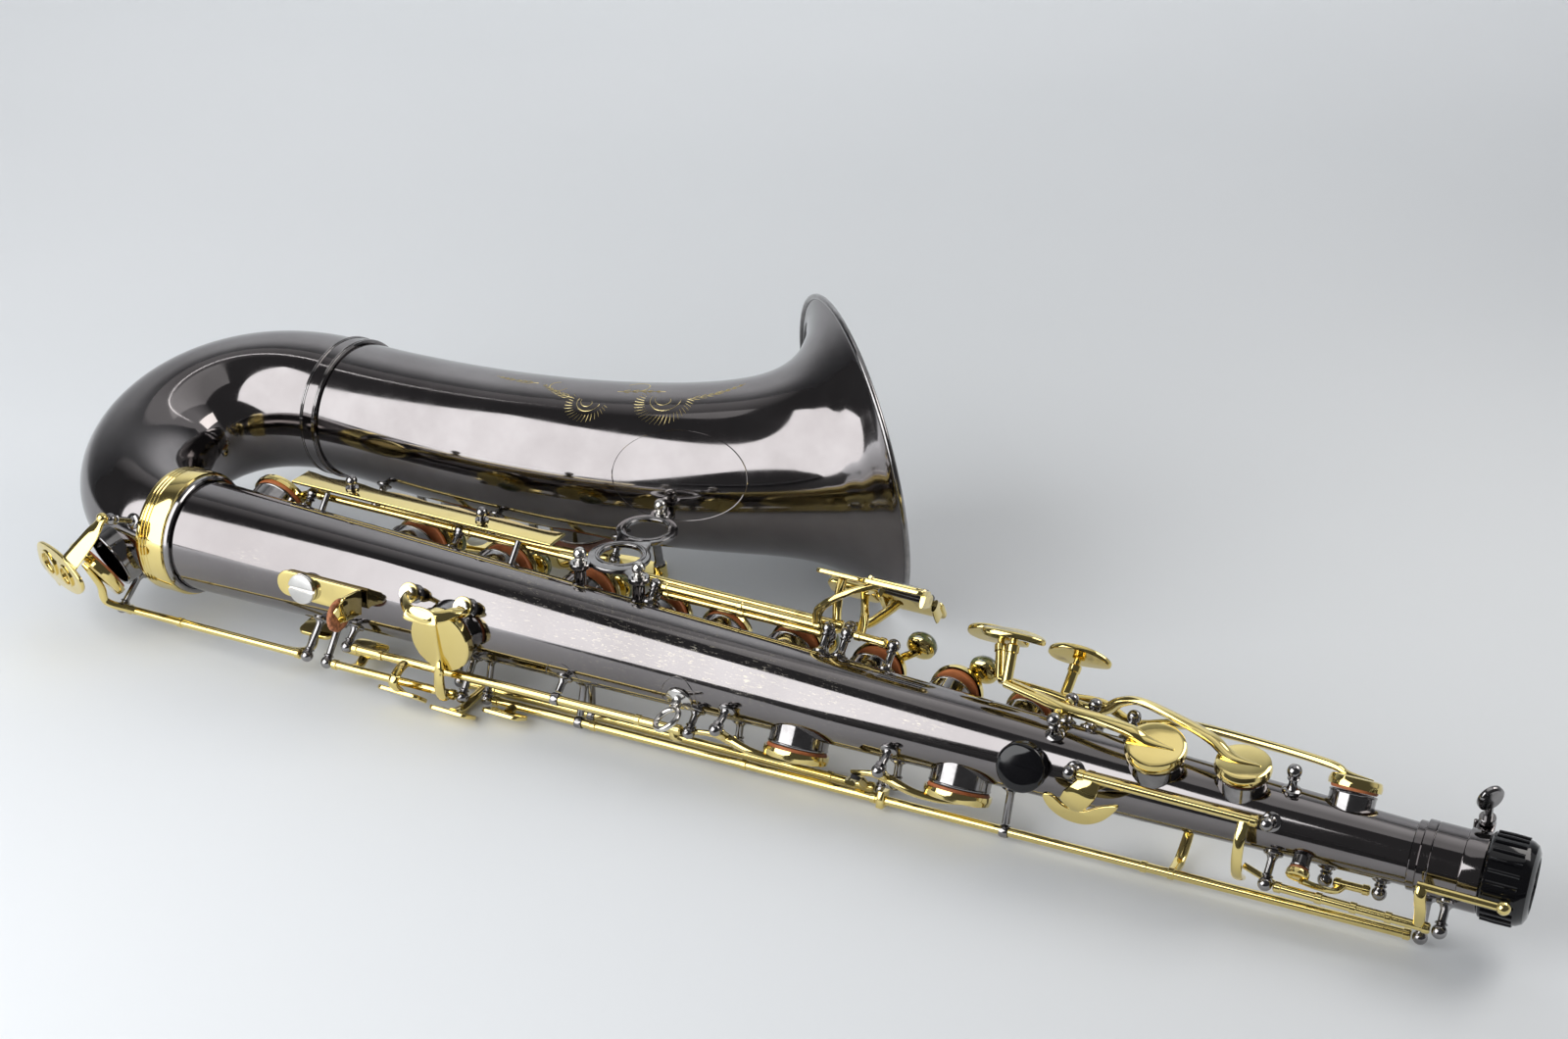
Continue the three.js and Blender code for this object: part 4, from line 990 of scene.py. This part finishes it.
def palm_key(name, ends, x, angle, hole, route, pillar, touch):
    hinge = Hinge(tube_post(*ends[0]), tube_post(*ends[1]))
    place = tone_hole("tube", x, angle, hole)
    shape = Shape()
    cup(shape, place, hole + CUP_LAP, dome=1.2)
    barrel(shape, hinge, 1.9)
    points = [on_tube(*p) for p in route[:-1]]
    last = (points[-1] - place.translation).dot(place.to_3x3() @ vec(1, 0)) * 0.35
    points += [place @ vec(last, 0, 10.9), place @ vec(hole * 0.72, -1, 10.5)]
    arm(shape, points, [(6.2, 3.8)] * (len(points) - 2) + [(5.4, 2.6), (0.9, 0.8)])
    foot, head = [on_tube(*p) for p in pillar]
    axis = head - foot
    length = axis.length
    shape.turned([(0, 0), (2.4, 0), (2.4, length * 0.6), (2.9, length * 0.62), (2.9, length * 0.76),
                  (2.5, length * 0.78), (1.6, length * 0.8), (1.6, length), (0, length)],
                 towards(foot, axis), 24)
    finish(shape, name, BRASS)
    top = Shape()
    top.plate([oval(PALM_LENGTH, PALM_WIDTH, 0.18)], 2.8, frame_on(tube, *touch), 0.9, palm_bend)
    finish(top, name + "_touch", TOUCH, name)
    pad(name, place, hole + CUP_LAP)


palm_key("palm_d_key", [(473, 6, 9.5), (473, -46, 9.5)], 517, 3, 11.4,
         [(446, -24, 11), (460, -20, 9.8), (473, -16, 8.6), (492, -5, 11.5), (506, 0, 12.2), (517, 3, 11.6)],
         [(446, -25, 11), (444, -36, 31)], (443, -38, 32))
palm_key("palm_eb_key", [(483, -50, 10), (483, -88, 10)], 553, -6, 10.2,
         [(437, -63, 11), (460, -63, 10.6), (483, -62, 9.2), (493, -53, 14.5), (503, -45, 16.5),
          (522, -31, 14.5), (538, -17, 13), (553, -6, 11.6)],
         [(437, -63, 11), (431, -63, 31)], (430, -63, 32))
palm_key("palm_f_key", [(500, -55, 10), (500, -92, 10)], 596, -45, 9.4,
         [(465, -77, 14), (483, -76, 15.5), (500, -73, 9.6), (522, -62, 13.5), (560, -53, 13.5),
          (585, -47, 12.6), (596, -45, 11.6)], [(465, -77, 14), (466, -70, 33)], (467, -68, 34))

# ---- octave mechanism ----
lever = Hinge(tube_post(486, 51, 9), tube_post(569, 51, 9))
octave = Shape()
barrel(octave, lever)
arm(octave, [lever.along(10), (494, 64, 10.5), (490, 76, 9.8), (487, 84, 9)],
    [(8, 3), (11, 3), (12, 2.6), (9, 2)])
crescent = [(-13, 2), (-10, -4), (-3, -8), (6, -8), (14, -3), (20, 6), (13, 4), (5, -1), (-3, -1), (-9, 3)]
octave.plate([smooth_outline(crescent)], 2, frame_on(tube, 489, 84, 8.8), 0.5)
arm(octave, [(560, 51, 9), (560, 70, 11.5), (560, 92, 13), (560, 112, 13.5),
             (560, 130, 12.4)], (4.6, 2.8))
finish(octave, "octave_lever", BRASS)

LINK_REACH = 27.5
link_start = tube_post(571, 122, LINK_REACH - tube.at(571)[2])
link_run = Hinge(link_start, add_post("receiver", 641, 120, LINK_REACH - RECEIVER_RADIUS))
octave_bridge = Shape()
barrel(octave_bridge, link_run, 1.9, [link_run.along(d) for d in (22, 36, 50)])
arm(octave_bridge, [link_run.along(9), (573, 134, 11.5), (560, 133, 7.4)], (4.2, 2.8))
arm(octave_bridge, [link_run.along(62), (633, 100, 12), (632, 84, 10.6), (632, 74, 9)],
    (4.6, 3))
octave_bridge.rod(on_tube(630, 74, 8.6), on_tube(662, 74, 9.4), 1.7, 20)
octave_bridge.ball(on_tube(663, 74, 9.4), 2.9, 20)
finish(octave_bridge, "octave_link", BRASS)

pip = Hinge(tube_post(592, 152, 6.5), tube_post(614, 152, 6.5))
pip_seat = tone_hole("tube", 583, 112, 3.6)
octave_pip = Shape()
barrel(octave_pip, pip, 1.8)
arm(octave_pip, [(600, 152, 6.5), (597, 142, 9), (591, 125, 9), (585, 114, 9)], (4, 2.6))
octave_pip.turned([(0, 5.6), (4.6, 5.6), (4.8, 6), (4.8, 8), (4.2, 8.6), (0, 8.8)], pip_seat, 32)
finish(octave_pip, "octave_pip_key", BRASS)
turned_piece("octave_pip_pad", CORK, [(0, 4.5), (4, 4.5), (4.2, 4.8), (4.2, 5.6), (0, 5.6)], pip_seat, 32,
             "octave_pip_key")
tube_post(573, -16, 9)

# ---- bell keys and their guard ----
BELL_KEY_ANGLE, BELL_HINGE_ANGLE = 178, 125
bell_posts = [add_post("bell", u, BELL_HINGE_ANGLE, 12) for u in (0.13, 0.37, 0.6)]


def bell_key(name, u, hole, ends):
    hinge = Hinge(*ends)
    place = tone_hole("bell", u, BELL_KEY_ANGLE, hole)
    reach = place.to_3x3() @ vec(0, 0, 1)

    def build(shape):
        barrel(shape, hinge)
        arm(shape, [(bell_pipe, u, 125, 12), (bell_pipe, u, 138, 16.5), (bell_pipe, u, 158, 14.5),
                    place @ vec(0, 0, CROWN), place @ vec(0, -hole * 0.7, 10.7)],
            [(5.4, 4), (5.8, 4), (5.6, 3.6), (4.6, 2.6), (1, 0.8)], reach)

    open_key(name, hinge, -9, place, hole + CUP_LAP, build)


bell_key("low_b_key", 0.25, 18.5, bell_posts[:2])
bell_key("low_bb_key", 0.485, 19.5, bell_posts[1:])
guard = Shape()
guard_place = frame_on(bell_pipe, 0.37, BELL_KEY_ANGLE, 32.4)
lower_edge = [(-74, -6), (-60, -11), (-38, -10), (-18, -8), (0, -5), (18, -8), (38, -10), (60, -11), (74, -6)]
upper_edge = [(x, -y) for x, y in lower_edge[::-1]]
guard.plate([smooth_outline(lower_edge + upper_edge, 4), circle(-38, 0, 6.4), circle(36, 0, 6.4)],
            1.8, guard_place, 0.4)
for u, height in ((0.12, 28.2), (0.37, 27.2), (0.62, 24.6)):
    foot = frame_on(bell_pipe, u, BELL_KEY_ANGLE)
    POSTS_OF["bell"].turned([(0, -1.5), (5, -1.5), (5, 0.6), (3.2, 1.2), (2.4, 2.4), (2.4, height - 2),
                             (3.4, height), (0, height)], foot, 24)
    guard.turned([(0, height + 0.35), (3.8, height + 0.35), (3.8, 33), (0, 33)], foot, 24)
finish(guard, "bell_key_guard", BRASS)

# ---- guards on the lower body ----
GUARD_POSTS = [(0.955, 50, 15), (0.8, 112, 17)]
for u, angle, height in GUARD_POSTS:
    add_post("bow", u, angle, height)
scroll = Shape()
scroll_place = frame_on(bow_pipe, 0.895, 87, 27.5)
scroll_edge = [(-24, -8), (-14, -13), (2, -12), (16, -8), (24, 0), (22, 7), (8, 12), (-8, 11), (-20, 6)]
scroll.plate([smooth_outline(scroll_edge), circle(-10, -1, 5.8), circle(8, 0, 4.8)], 2, scroll_place, 0.6)
for x, y, radius in ((-10, -1, 7.4), (8, 0, 6.2)):
    scroll.turned([(radius - 1.6, 1), (radius, 1), (radius, 1.7), (radius - 0.8, 2), (radius - 1.6, 1.7),
                   (radius - 1.6, 1)], shifted(scroll_place, x, y, 0), 40)
GUARD_BENDS, GUARD_CORNERS = [(0.95, 60, 23), (0.82, 108, 25)], [(12, 8), (-12.5, -10)]
for (u, angle, height), bend, (x, y) in zip(GUARD_POSTS, GUARD_BENDS, GUARD_CORNERS):
    over = on(bow_pipe, u, angle, height + 5.4)
    arm(scroll, [over, (bow_pipe, *bend), scroll_place @ vec(x * 1.2, y * 1.4, -1.2),
                 scroll_place @ vec(x, y, -0.2)],
        [(6, 3), (9, 2.2), (11, 2), (8, 1.8)], outward(bow_pipe, 0.895, 87))
    scroll.ball(over, 2.9)
finish(scroll, "low_c_guard", BRASS)

arch = Shape()
for x in (157, 187):
    boss = frame_on(tube, x, 47)
    POSTS_OF["tube"].turned([(0, -1), (4.6, -1), (4.6, 0.5), (3.6, 1.2), (3.6, 5), (0, 5)], boss, 28)
    arch.turned([(0, 5.3), (4.9, 5.3), (5.1, 5.6), (5.1, 6.7), (4.8, 7), (0, 7)], boss, 32)
arm(arch, [(156, 47, 6.5), (160, 51, 14), (168, 56, 19.5), (180, 57, 19.5),
           (187, 52, 14), (188, 47, 6.5)], [(6, 2), (5, 2.6), (6, 2.4), (6, 2.4), (5, 2.6), (6, 2)])
arch.plate([smooth_outline([(-9, -2.6), (0, -3.2), (9, -2.6), (7, 3), (0, 4.6), (-7, 3)]),
            smooth_outline([(-4.5, -0.6), (0, -1), (4.5, -0.6), (0, 2.2)])],
           1.6, frame_on(tube, 174, 58, 19.6), 0.4)
finish(arch, "low_eb_guard", BRASS)
for x in (157, 187):
    screw = Shape()
    slotted(screw, frame_on(tube, x, 47, 7.3), 3.7, 1.8, 0.8)
    finish(screw, f"low_eb_guard_screw_{x}", BRIGHT)

# long flat plate over the rods, with a scalloped edge
RAIL_HALF, SCALLOPS, EDGE_STEPS = 77, 5, 44
rail = Matrix.Translation((128, 35, 21.4)) @ rotation(-14, "X")
edge = [(RAIL_HALF * (2 * k / EDGE_STEPS - 1), 6.6 + 0.9 * cos(2 * pi * SCALLOPS * k / EDGE_STEPS))
        for k in range(EDGE_STEPS + 1)]
plate = Shape()
plate.plate([[(x, -6.4) for x in range(-RAIL_HALF, RAIL_HALF + 1, 7)] + edge[::-1]], 1.6, rail, 0.4)
finish(plate, "rod_guard", BRASS)
for x in (72, 186):
    POSTS_OF["tube"].rod(vec(x, 19, 12), vec(x, 30, 19.9), 1.6)
for x in (-44, 34):
    turned_piece(f"rail_head_{'left' if x < 0 else 'right'}", POSTS, [(0, 0), (3.4, 0), (3.4, 0.8),
                 (1.8, 1.4), (1.8, 2), *ball_head(2.9, 4.4, -50)], shifted(rail, x, 0, 1), 24)

# ---- brace between body and bell ----
brace_place = Matrix(((1, 0, 0), (0, 0.975, 0.222), (0, -0.222, 0.975))).to_4x4()
brace_place.translation = vec(237, 52, 15)


brace = Shape()
brace.plate([arc(-1, 14.8, 15.2, range(-52, 233, 8)) + arc(1, -15.4, 15.2, range(128, 413, 8)),
             circle(1, -13.6, 10, 40), circle(-1, 14.8, 10.4, 40)], 2.4, brace_place, 0.6)
for x, y, inner, outer in ((1, -13.6, 10.8, 12.4), (-1, 14.8, 11.2, 12.8)):
    brace.turned([(inner, 1), (outer, 1), (outer, 1.5), (outer - 0.5, 1.8), (inner + 0.5, 1.8), (inner, 1.5),
                  (inner, 1)], shifted(brace_place, x, y, 0), 48)
BRACE_LUGS = {(-12, -29.5): (-8, -20), (20, -29.5): (10, -22), (-3, 32): (-2, 26)}
for x, y in BRACE_LUGS:
    brace.turned([(0, -1.2), (5, -1.2), (5.2, -0.8), (5.2, 0.9), (4.8, 1.3), (0, 1.3)],
                 shifted(brace_place, x, y, 0), 32)
for lug, waist in BRACE_LUGS.items():
    start, end = brace_place @ vec(*lug), brace_place @ vec(*waist)
    arm(brace, [start, (start + end) / 2, end], (8, 2.2), brace_place.to_3x3() @ vec(0, 0, 1))
finish(brace, "bell_brace", POSTS)
for index, (x, y) in enumerate(BRACE_LUGS):
    turned_piece(f"brace_screw_{index}", BRIGHT, [(0, 0), (3.4, 0), (3.4, 0.9), (2, 1.5),
                 *ball_head(3.3, 4.3)], shifted(brace_place, x, y, 1.4), 24)
for x in (225, 257):
    POSTS_OF["tube"].rod(vec(x, 19.6, 8), vec(x, 22.2, 19.2), 3)
POSTS_OF["bell"].rod(vec(234, 96, 0.2), vec(234, 86, 2.6), 2.4)

# ---- neck end ----
neck_place = towards(vec(RECEIVER_START, 0), vec(1, 0))
receiver = Shape()
receiver.turned([(12.9, 0), (14.2, 0), (14.4, 0.3), (14.4, 3), (15.6, 3.6), (15.6, 7), (15.3, 7.4),
                 (15.6, 7.8), (15.6, 19.4), (16.5, 19.8), (16.6, 20.3), (16.6, 27.4), (16.2, 28), (12.9, 28),
                 (12.9, 0)], neck_place, 72)
for centre in (645.6, 650.4):
    receiver.rod(vec(centre - 1.9, 20, -7.4), vec(centre - 1.9, 20, 7.4), 0.9)
for z in (-4, 4):
    receiver.plate([rounded(7, 9, 1.6)], 6.4, Matrix.Translation((647.8, 18.6, z)), 0.5)
finish(receiver, "neck_receiver", NICKEL)
SCREW_X, SCREW_Y = 647.8, 20.4
screw = Shape()
screw.rod(vec(SCREW_X, SCREW_Y, -9.5), vec(SCREW_X, SCREW_Y, 17), 1.8)
screw.turned([(0, 7.9), (3.2, 7.9), (3.4, 8.2), (3.4, 10.2), (3.2, 10.5), (0, 10.5)],
             Matrix.Translation((SCREW_X, SCREW_Y, 0)), 28)
screw.turned([(0, -1.5), (4.8, -1.5), (5.8, -0.8), (5.9, 0), (5.8, 0.8), (4.8, 1.5), (0, 1.5)],
             towards(vec(SCREW_X, SCREW_Y, 21), vec(0.7, -0.7)), 40)
finish(screw, "neck_screw", POSTS)

cap = Shape()
cap_place = towards(vec(CAP_FACE, 0), vec(1, 0))
cap.turned([(0, -16), (11.6, -16), (12.3, -15.3), (12.3, 0), (16.8, 0), (17.4, 0.6), (17.4, 13.8), (17, 15.2),
            (15.8, 17.2), (13.4, 18.4), (11.6, 18.6), (11, 18), (0, 18)], cap_place, 96)
for k in range(24):
    a = radians(7.5 + 15 * k)
    out = vec(0, -sin(a), cos(a))
    rib_start, rib_end = vec(CAP_FACE + 1.4, 0) + out * 17.2, vec(CAP_FACE + 13.6, 0) + out * 17.2
    cap.sweep([rib_start, (rib_start + rib_end) / 2, rib_end], [(1.7, 2), (1.8, 2.4), (1.7, 2)], out, 10)
finish(cap, "end_cap", PLASTIC)

# ---- thumb rest, thumb hook, strap ring ----
turned_piece("thumb_rest", PLASTIC, [(0, 0.4), (10.6, 0.4), (11, 0.8), (11, 4.8), (10.6, 5.8), (9.4, 6.5),
             (6, 6.9), (0, 7.05)], frame_on(tube, 464, 62), 64, edge=40)

hook_place = frame_on(tube, 104, 69)
hook = Shape()
hook.plate([[(25, -6.5), (25, 6.5), *arc(-18, 0, 6.5, range(90, 271, 12))], circle(-8, 0, 3.6)], 1.8,
           shifted(hook_place, 0, 0, 2.3), 0.4)
wall = shifted(hook_place, 24.1, 0, 8.9) @ rotation(90, "Y")
hook.plate([rounded(15, 13, 2.6)], 1.8, wall, 0.5)
arm(hook, [hook_place @ vec(24.1, 0, 12), hook_place @ vec(24.6, -1, 16), hook_place @ vec(23.4, -3, 19)],
    [(12, 2.2), (12, 2.4), (9, 2)], hook_place.to_3x3() @ vec(1, 0, 0))
finish(hook, "thumb_hook", BRASS)
turned_piece("thumb_hook_cork", CORK, [(0, -1.3), (7.6, -1.3), (8.2, -0.7), (8.2, 0.7), (7.6, 1.3), (0, 1.3)],
             shifted(hook_place, 21.8, -3, 15.4) @ rotation(90, "Y"), 48)
hook_screw = Shape()
hook_screw.turned([(0, 0.6), (3.1, 0.6), (3.1, 3.4), (0, 3.4)], shifted(hook_place, -8, 0, 0), 32)
slotted(hook_screw, shifted(hook_place, -8, 0, 3.5), 7.6, 2.5, 1.4)
finish(hook_screw, "thumb_hook_screw", BRIGHT)

ring_place = frame_on(tube, 299, 97)
strap = Shape()
strap.turned([(0, -0.5), (6.6, -0.5), (6.6, 0.6), (6, 1), (3, 1.8), (2.4, 3), (2.4, 5), (0, 5.6)],
             ring_place, 36)
loop = shifted(ring_place, 0, 0, 12.4) @ rotation(25, "Z") @ rotation(90, "X")
wire = circle(6.1, 0, 1.4, 16)
strap.turned([*wire, wire[0]], loop, 56)
finish(strap, "strap_ring", BRIGHT, edge=60)


# ---- pipe walls, chimneys and posts ----
pipe_wall("body_tube", "tube", [GAP, *range(8, 617, 16), TUBE_LENGTH], 128)
pipe_wall("bow", "bow", [i / 72 for i in range(73)], 112)
FLARE_FROM = 0.78
FLARED = [i / 48 * FLARE_FROM for i in range(49)]
FLARED += [FLARE_FROM + (1 - FLARE_FROM) * (1 - (1 - i / 26) ** 1.5) for i in range(1, 27)]
pipe_wall("bell", "bell", FLARED, 144)
for owner, chimneys in CHIMNEYS.items():
    if TONE_HOLES[owner]:
        finish(chimneys, f"{owner}_tone_holes", POSTS)
for owner, posts in POSTS_OF.items():
    finish(posts, f"{owner}_posts", POSTS)


# ---- engraving and soldered seams ----
def on_surface(pipe, station, angle, length, x, y, lift):
    """Point at x mm along and y mm round the pipe from (station, angle)."""
    u = station + x / length
    radius = pipe.at(u)[2]
    return on(pipe, u, angle + degrees(y / radius), lift)


def seam(name, pipe, station, angle, length, half_x, half_y):
    """Thin oval line where a foot is soldered to the pipe."""
    shape = Shape()
    line = [on_surface(pipe, station, angle, length, half_x * cos(a), half_y * sin(a), 0.04)
            for a in round_turn(56)]
    up = outward(pipe, station, angle)
    rings = []
    for k in range(len(line)):
        along = (line[(k + 1) % len(line)] - line[k - 1]).normalized()
        side = along.cross(up).normalized()
        rings.append([line[k] + side * 0.28, line[k] + up * 0.14, line[k] - side * 0.28, line[k] - up * 0.4])
    shape.rings(rings, closed=True)
    finish(shape, name, NICKEL)


BELL_LENGTH = bell_pipe.lengths[-1]
seam("brace_seam_on_bell", bell_pipe, 0.72, 60, BELL_LENGTH, 31, 24)
for x, angle in ((299, 97), (236, 117)):
    seam(f"foot_seam_{x}", tube, x, angle, 1, 9, 12)

ENGRAVING = (0.6, -9)
RIB_BEND = 0.12
lines = Shape()


def engraved(x, y, lift):
    return on_surface(bell_pipe, *ENGRAVING, BELL_LENGTH, x, y, lift)


def stroke(points, width):
    """Engraved line on the bell, widest in the middle."""
    count = len(points)
    rings = []
    for k, (x, y) in enumerate(points):
        a, b = points[max(k - 1, 0)], points[min(k + 1, count - 1)]
        swell = 0.25 + 0.75 * sin(pi * (k + 0.5) / count)
        away = Vector((a[1] - b[1], b[0] - a[0])).normalized() * width / 2 * swell
        rings.append([engraved(x - away.x, y - away.y, 0.02), engraved(x, y, 0.14),
                      engraved(x + away.x, y + away.y, 0.02), engraved(x, y, -0.3)])
    lines.rings(rings)


def curl(x, y, radius, start, sweep, count=14, tighten=0.35):
    """Points of a spiral: angles in degrees."""
    points = []
    for k in range(count + 1):
        a = radians(start + sweep * k / count)
        r = radius * (1 - tighten * k / count)
        points.append((x + r * cos(a), y + r * sin(a)))
    return points


def fan(x, y, radius, start, sweep, ribs):
    """Shell of fine ribs round a scroll."""
    for k in range(ribs):
        a = radians(start + sweep * k / (ribs - 1))
        inner, outer = radius * 0.66, radius * (0.88 + 0.12 * sin(pi * k / (ribs - 1)))
        stroke([(x + (inner + (outer - inner) * t) * cos(a + RIB_BEND * t),
                 y + (inner + (outer - inner) * t) * sin(a + RIB_BEND * t))
                for t in (0, 0.25, 0.5, 0.75, 1)], 0.3)
    stroke(curl(x, y, radius * 0.48, start, sweep, 20, 0), 0.5)
    stroke(curl(x, y, radius * 0.36, start + sweep, -sweep * 1.2, 20, 0.7), 0.5)


def frond(x, y, heading, length, bend, leaves):
    """Stem with paired leaves."""
    stem = []
    for k in range(17):
        t = k / 16
        a = radians(heading + bend * t)
        stem.append((x, y) if not stem else (stem[-1][0] + length / 16 * cos(a),
                                            stem[-1][1] + length / 16 * sin(a)))
    stroke(stem, 0.6)
    for k in range(1, leaves + 1):
        t = k / (leaves + 1)
        px, py = stem[int(t * 16)]
        a = radians(heading + bend * t)
        size = 4.2 * (1 - 0.6 * t)
        for side in (-1, 1):
            b = a + side * 0.9
            stroke([(px + size * s * cos(b - side * 0.5 * s), py + size * s * sin(b - side * 0.5 * s))
                    for s in (0, 0.33, 0.66, 1)], 0.6)


fan(-16, 12, 13, 10, 190, 19)
fan(24, 8, 17, 0, 200, 25)
frond(36, 8, -8, 30, -24, 8)
frond(-4, 2, -10, 26, 14, 5)
frond(-25, 10, 190, 24, 26, 7)
frond(-50, 0, 178, 26, 12, 6)
stroke(curl(6, -4, 7, 200, 250), 0.6)
stroke(curl(-38, 0, 6, 20, 240), 0.6)
finish(lines, "bell_engraving", ENGRAVED)

# ---- camera, light, floor ----
CAMERA_AT = vec(718.126, -619.037, 670.086)
CAMERA_RIGHT = vec(0.89391364, 0.43753921, -0.09735418)
CAMERA_DOWN = vec(0.20607086, -0.59403163, -0.77759965)
CAMERA_AHEAD = vec(-0.3980618, 0.67504508, -0.62117706)
lens = bpy.data.cameras.new("camera")
lens.sensor_width, lens.lens = 36, 49.972
lens.clip_start, lens.clip_end = 0.05, 60
camera = placed("camera", lens)
look = Matrix((CAMERA_RIGHT, -CAMERA_DOWN, -CAMERA_AHEAD)).transposed().to_4x4()
camera.matrix_world = turn @ look
camera.location = INSTRUMENT @ CAMERA_AT
bpy.context.scene.camera = camera


def area_light(name, width, height, power, color=(1, 1, 1)):
    light = bpy.data.lights.new(name, "AREA")
    light.shape, light.size, light.size_y = "RECTANGLE", width, height
    light.energy, light.color = power, color
    return placed(name, light)


def softbox(name, where, target, width, height, power, color=(1, 1, 1)):
    lamp = area_light(name, width, height, power, color)
    start, end = INSTRUMENT @ vec(*where), INSTRUMENT @ vec(*target)
    lamp.location = start
    lamp.rotation_euler = (end - start).to_track_quat("-Z", "Y").to_euler()
    return lamp


# a tall softbox on the camera's left leans over the instrument; its right edge makes the long highlights
BOX_CORNER = vec(535, -590, 820)
BOX_DOWN, BOX_LEFT = vec(-0.562, -0.657, -0.502).normalized(), vec(-0.866, 0.424, 0.267).normalized()
BOX_HEIGHT, BOX_WIDTH = 1500, 1300
box_centre = BOX_CORNER + BOX_DOWN * BOX_HEIGHT / 2 + BOX_LEFT * BOX_WIDTH / 2
light = softbox("softbox", box_centre, (0, 0, 0), BOX_WIDTH / 1000, BOX_HEIGHT / 1000, 20, (0.98, 0.99, 1))
facing = BOX_DOWN.cross(BOX_LEFT)
facing = facing if facing.dot(vec(300, 0, 0) - box_centre) > 0 else -facing
across = (-BOX_DOWN).cross(-facing)
light.matrix_world = turn @ Matrix((across, -BOX_DOWN, -facing)).transposed().to_4x4()
light.location = INSTRUMENT @ box_centre
softbox("flare_light", (820, 420, 420), (330, 180, 0), 0.45, 0.3, 1.6, (1, 0.97, 0.93))
softbox("top_light", (300, 500, 1500), (250, 80, 0), 1.2, 1.2, 2)
fill_light = softbox("fill_light", (350, -900, 650), (300, -80, 0), 1.4, 0.9, 1.6)
fill_light.visible_glossy = False

world = bpy.data.worlds.new("studio")
world.use_nodes = True
bpy.context.scene.world = world
tree = world.node_tree
background = tree.nodes["Background"]
direction = tree.nodes.new("ShaderNodeTexCoord")
split = tree.nodes.new("ShaderNodeSeparateXYZ")
tree.links.new(direction.outputs["Generated"], split.inputs[0])
sky = tree.nodes.new("ShaderNodeValToRGB")
tree.links.new(split.outputs["Y"], sky.inputs["Fac"])
set_ramp(sky.color_ramp, (0.0, (0.075, 0.075, 0.078)), (0.35, (0.5, 0.5, 0.51)))
tree.links.new(sky.outputs["Color"], background.inputs["Color"])
background.inputs["Strength"].default_value = 1.0

PAPER = material("paper_sweep", (0.78, 0.8, 0.82), 0.9, Specular_IOR_Level=0.1)
grained(PAPER, 1.1, 2, 0.3, 0.7, (0.76, 0.785, 0.805), (0.8, 0.82, 0.84))
view = turn.to_3x3() @ CAMERA_AHEAD
floor_ahead = Vector((view.x, view.y, 0)).normalized()
floor_side = Vector((floor_ahead.y, -floor_ahead.x, 0))
centre = INSTRUMENT @ vec(330, 60, 0)
# section of the paper behind the instrument: flat, a quarter bend, then upright
PAPER_FLAT, PAPER_BEND, PAPER_TOP = 1.5, 1.3, 4.5
profile = [(-7, 0), (PAPER_FLAT, 0)]
profile += [(PAPER_FLAT + x, PAPER_BEND - y) for y, x in arc(0, 0, PAPER_BEND, range(6, 91, 6))]
profile.append((PAPER_FLAT + PAPER_BEND, PAPER_TOP))
sweep_mesh = bmesh.new()
rows = [[sweep_mesh.verts.new(Vector((centre.x, centre.y, height)) + floor_ahead * reach + floor_side * side)
         for side in (-7, 7)] for reach, height in profile]
for near, far in zip(rows, rows[1:]):
    sweep_mesh.faces.new((near[0], near[1], far[1], far[0]))
for face in sweep_mesh.faces:
    face.smooth = True
bmesh.ops.recalc_face_normals(sweep_mesh, faces=sweep_mesh.faces)
paper = placed("paper_sweep", mesh_of(sweep_mesh, "paper_sweep"))
paper.data.materials.append(PAPER)
wall_lamp = area_light("wall_light", 4, 0.8, 58)
wall_lamp.location = centre + floor_ahead * 0.9 + Vector((0, 0, 2.2))
wall_lamp.rotation_euler = (floor_ahead * 1.9 + Vector((0, 0, -0.7))).to_track_quat("-Z", "Y").to_euler()

# a black flag lies out of frame in front; only reflections see it
flag_mesh = bmesh.new()
FLAG = [(20, -430), (200, -250), (330, -135), (1700, -120), (1700, -3200), (-700, -3200), (-330, -1500)]
flag_points = [INSTRUMENT @ vec(x, y, 0) for x, y in FLAG]
flag_mesh.faces.new([flag_mesh.verts.new((point.x, point.y, 0.003)) for point in flag_points])
flag = placed("black_flag", mesh_of(flag_mesh, "black_flag"))
flag.data.materials.append(FELT)
flag.visible_camera = flag.visible_shadow = flag.visible_diffuse = False

bpy.context.scene.view_settings.view_transform = "Standard"
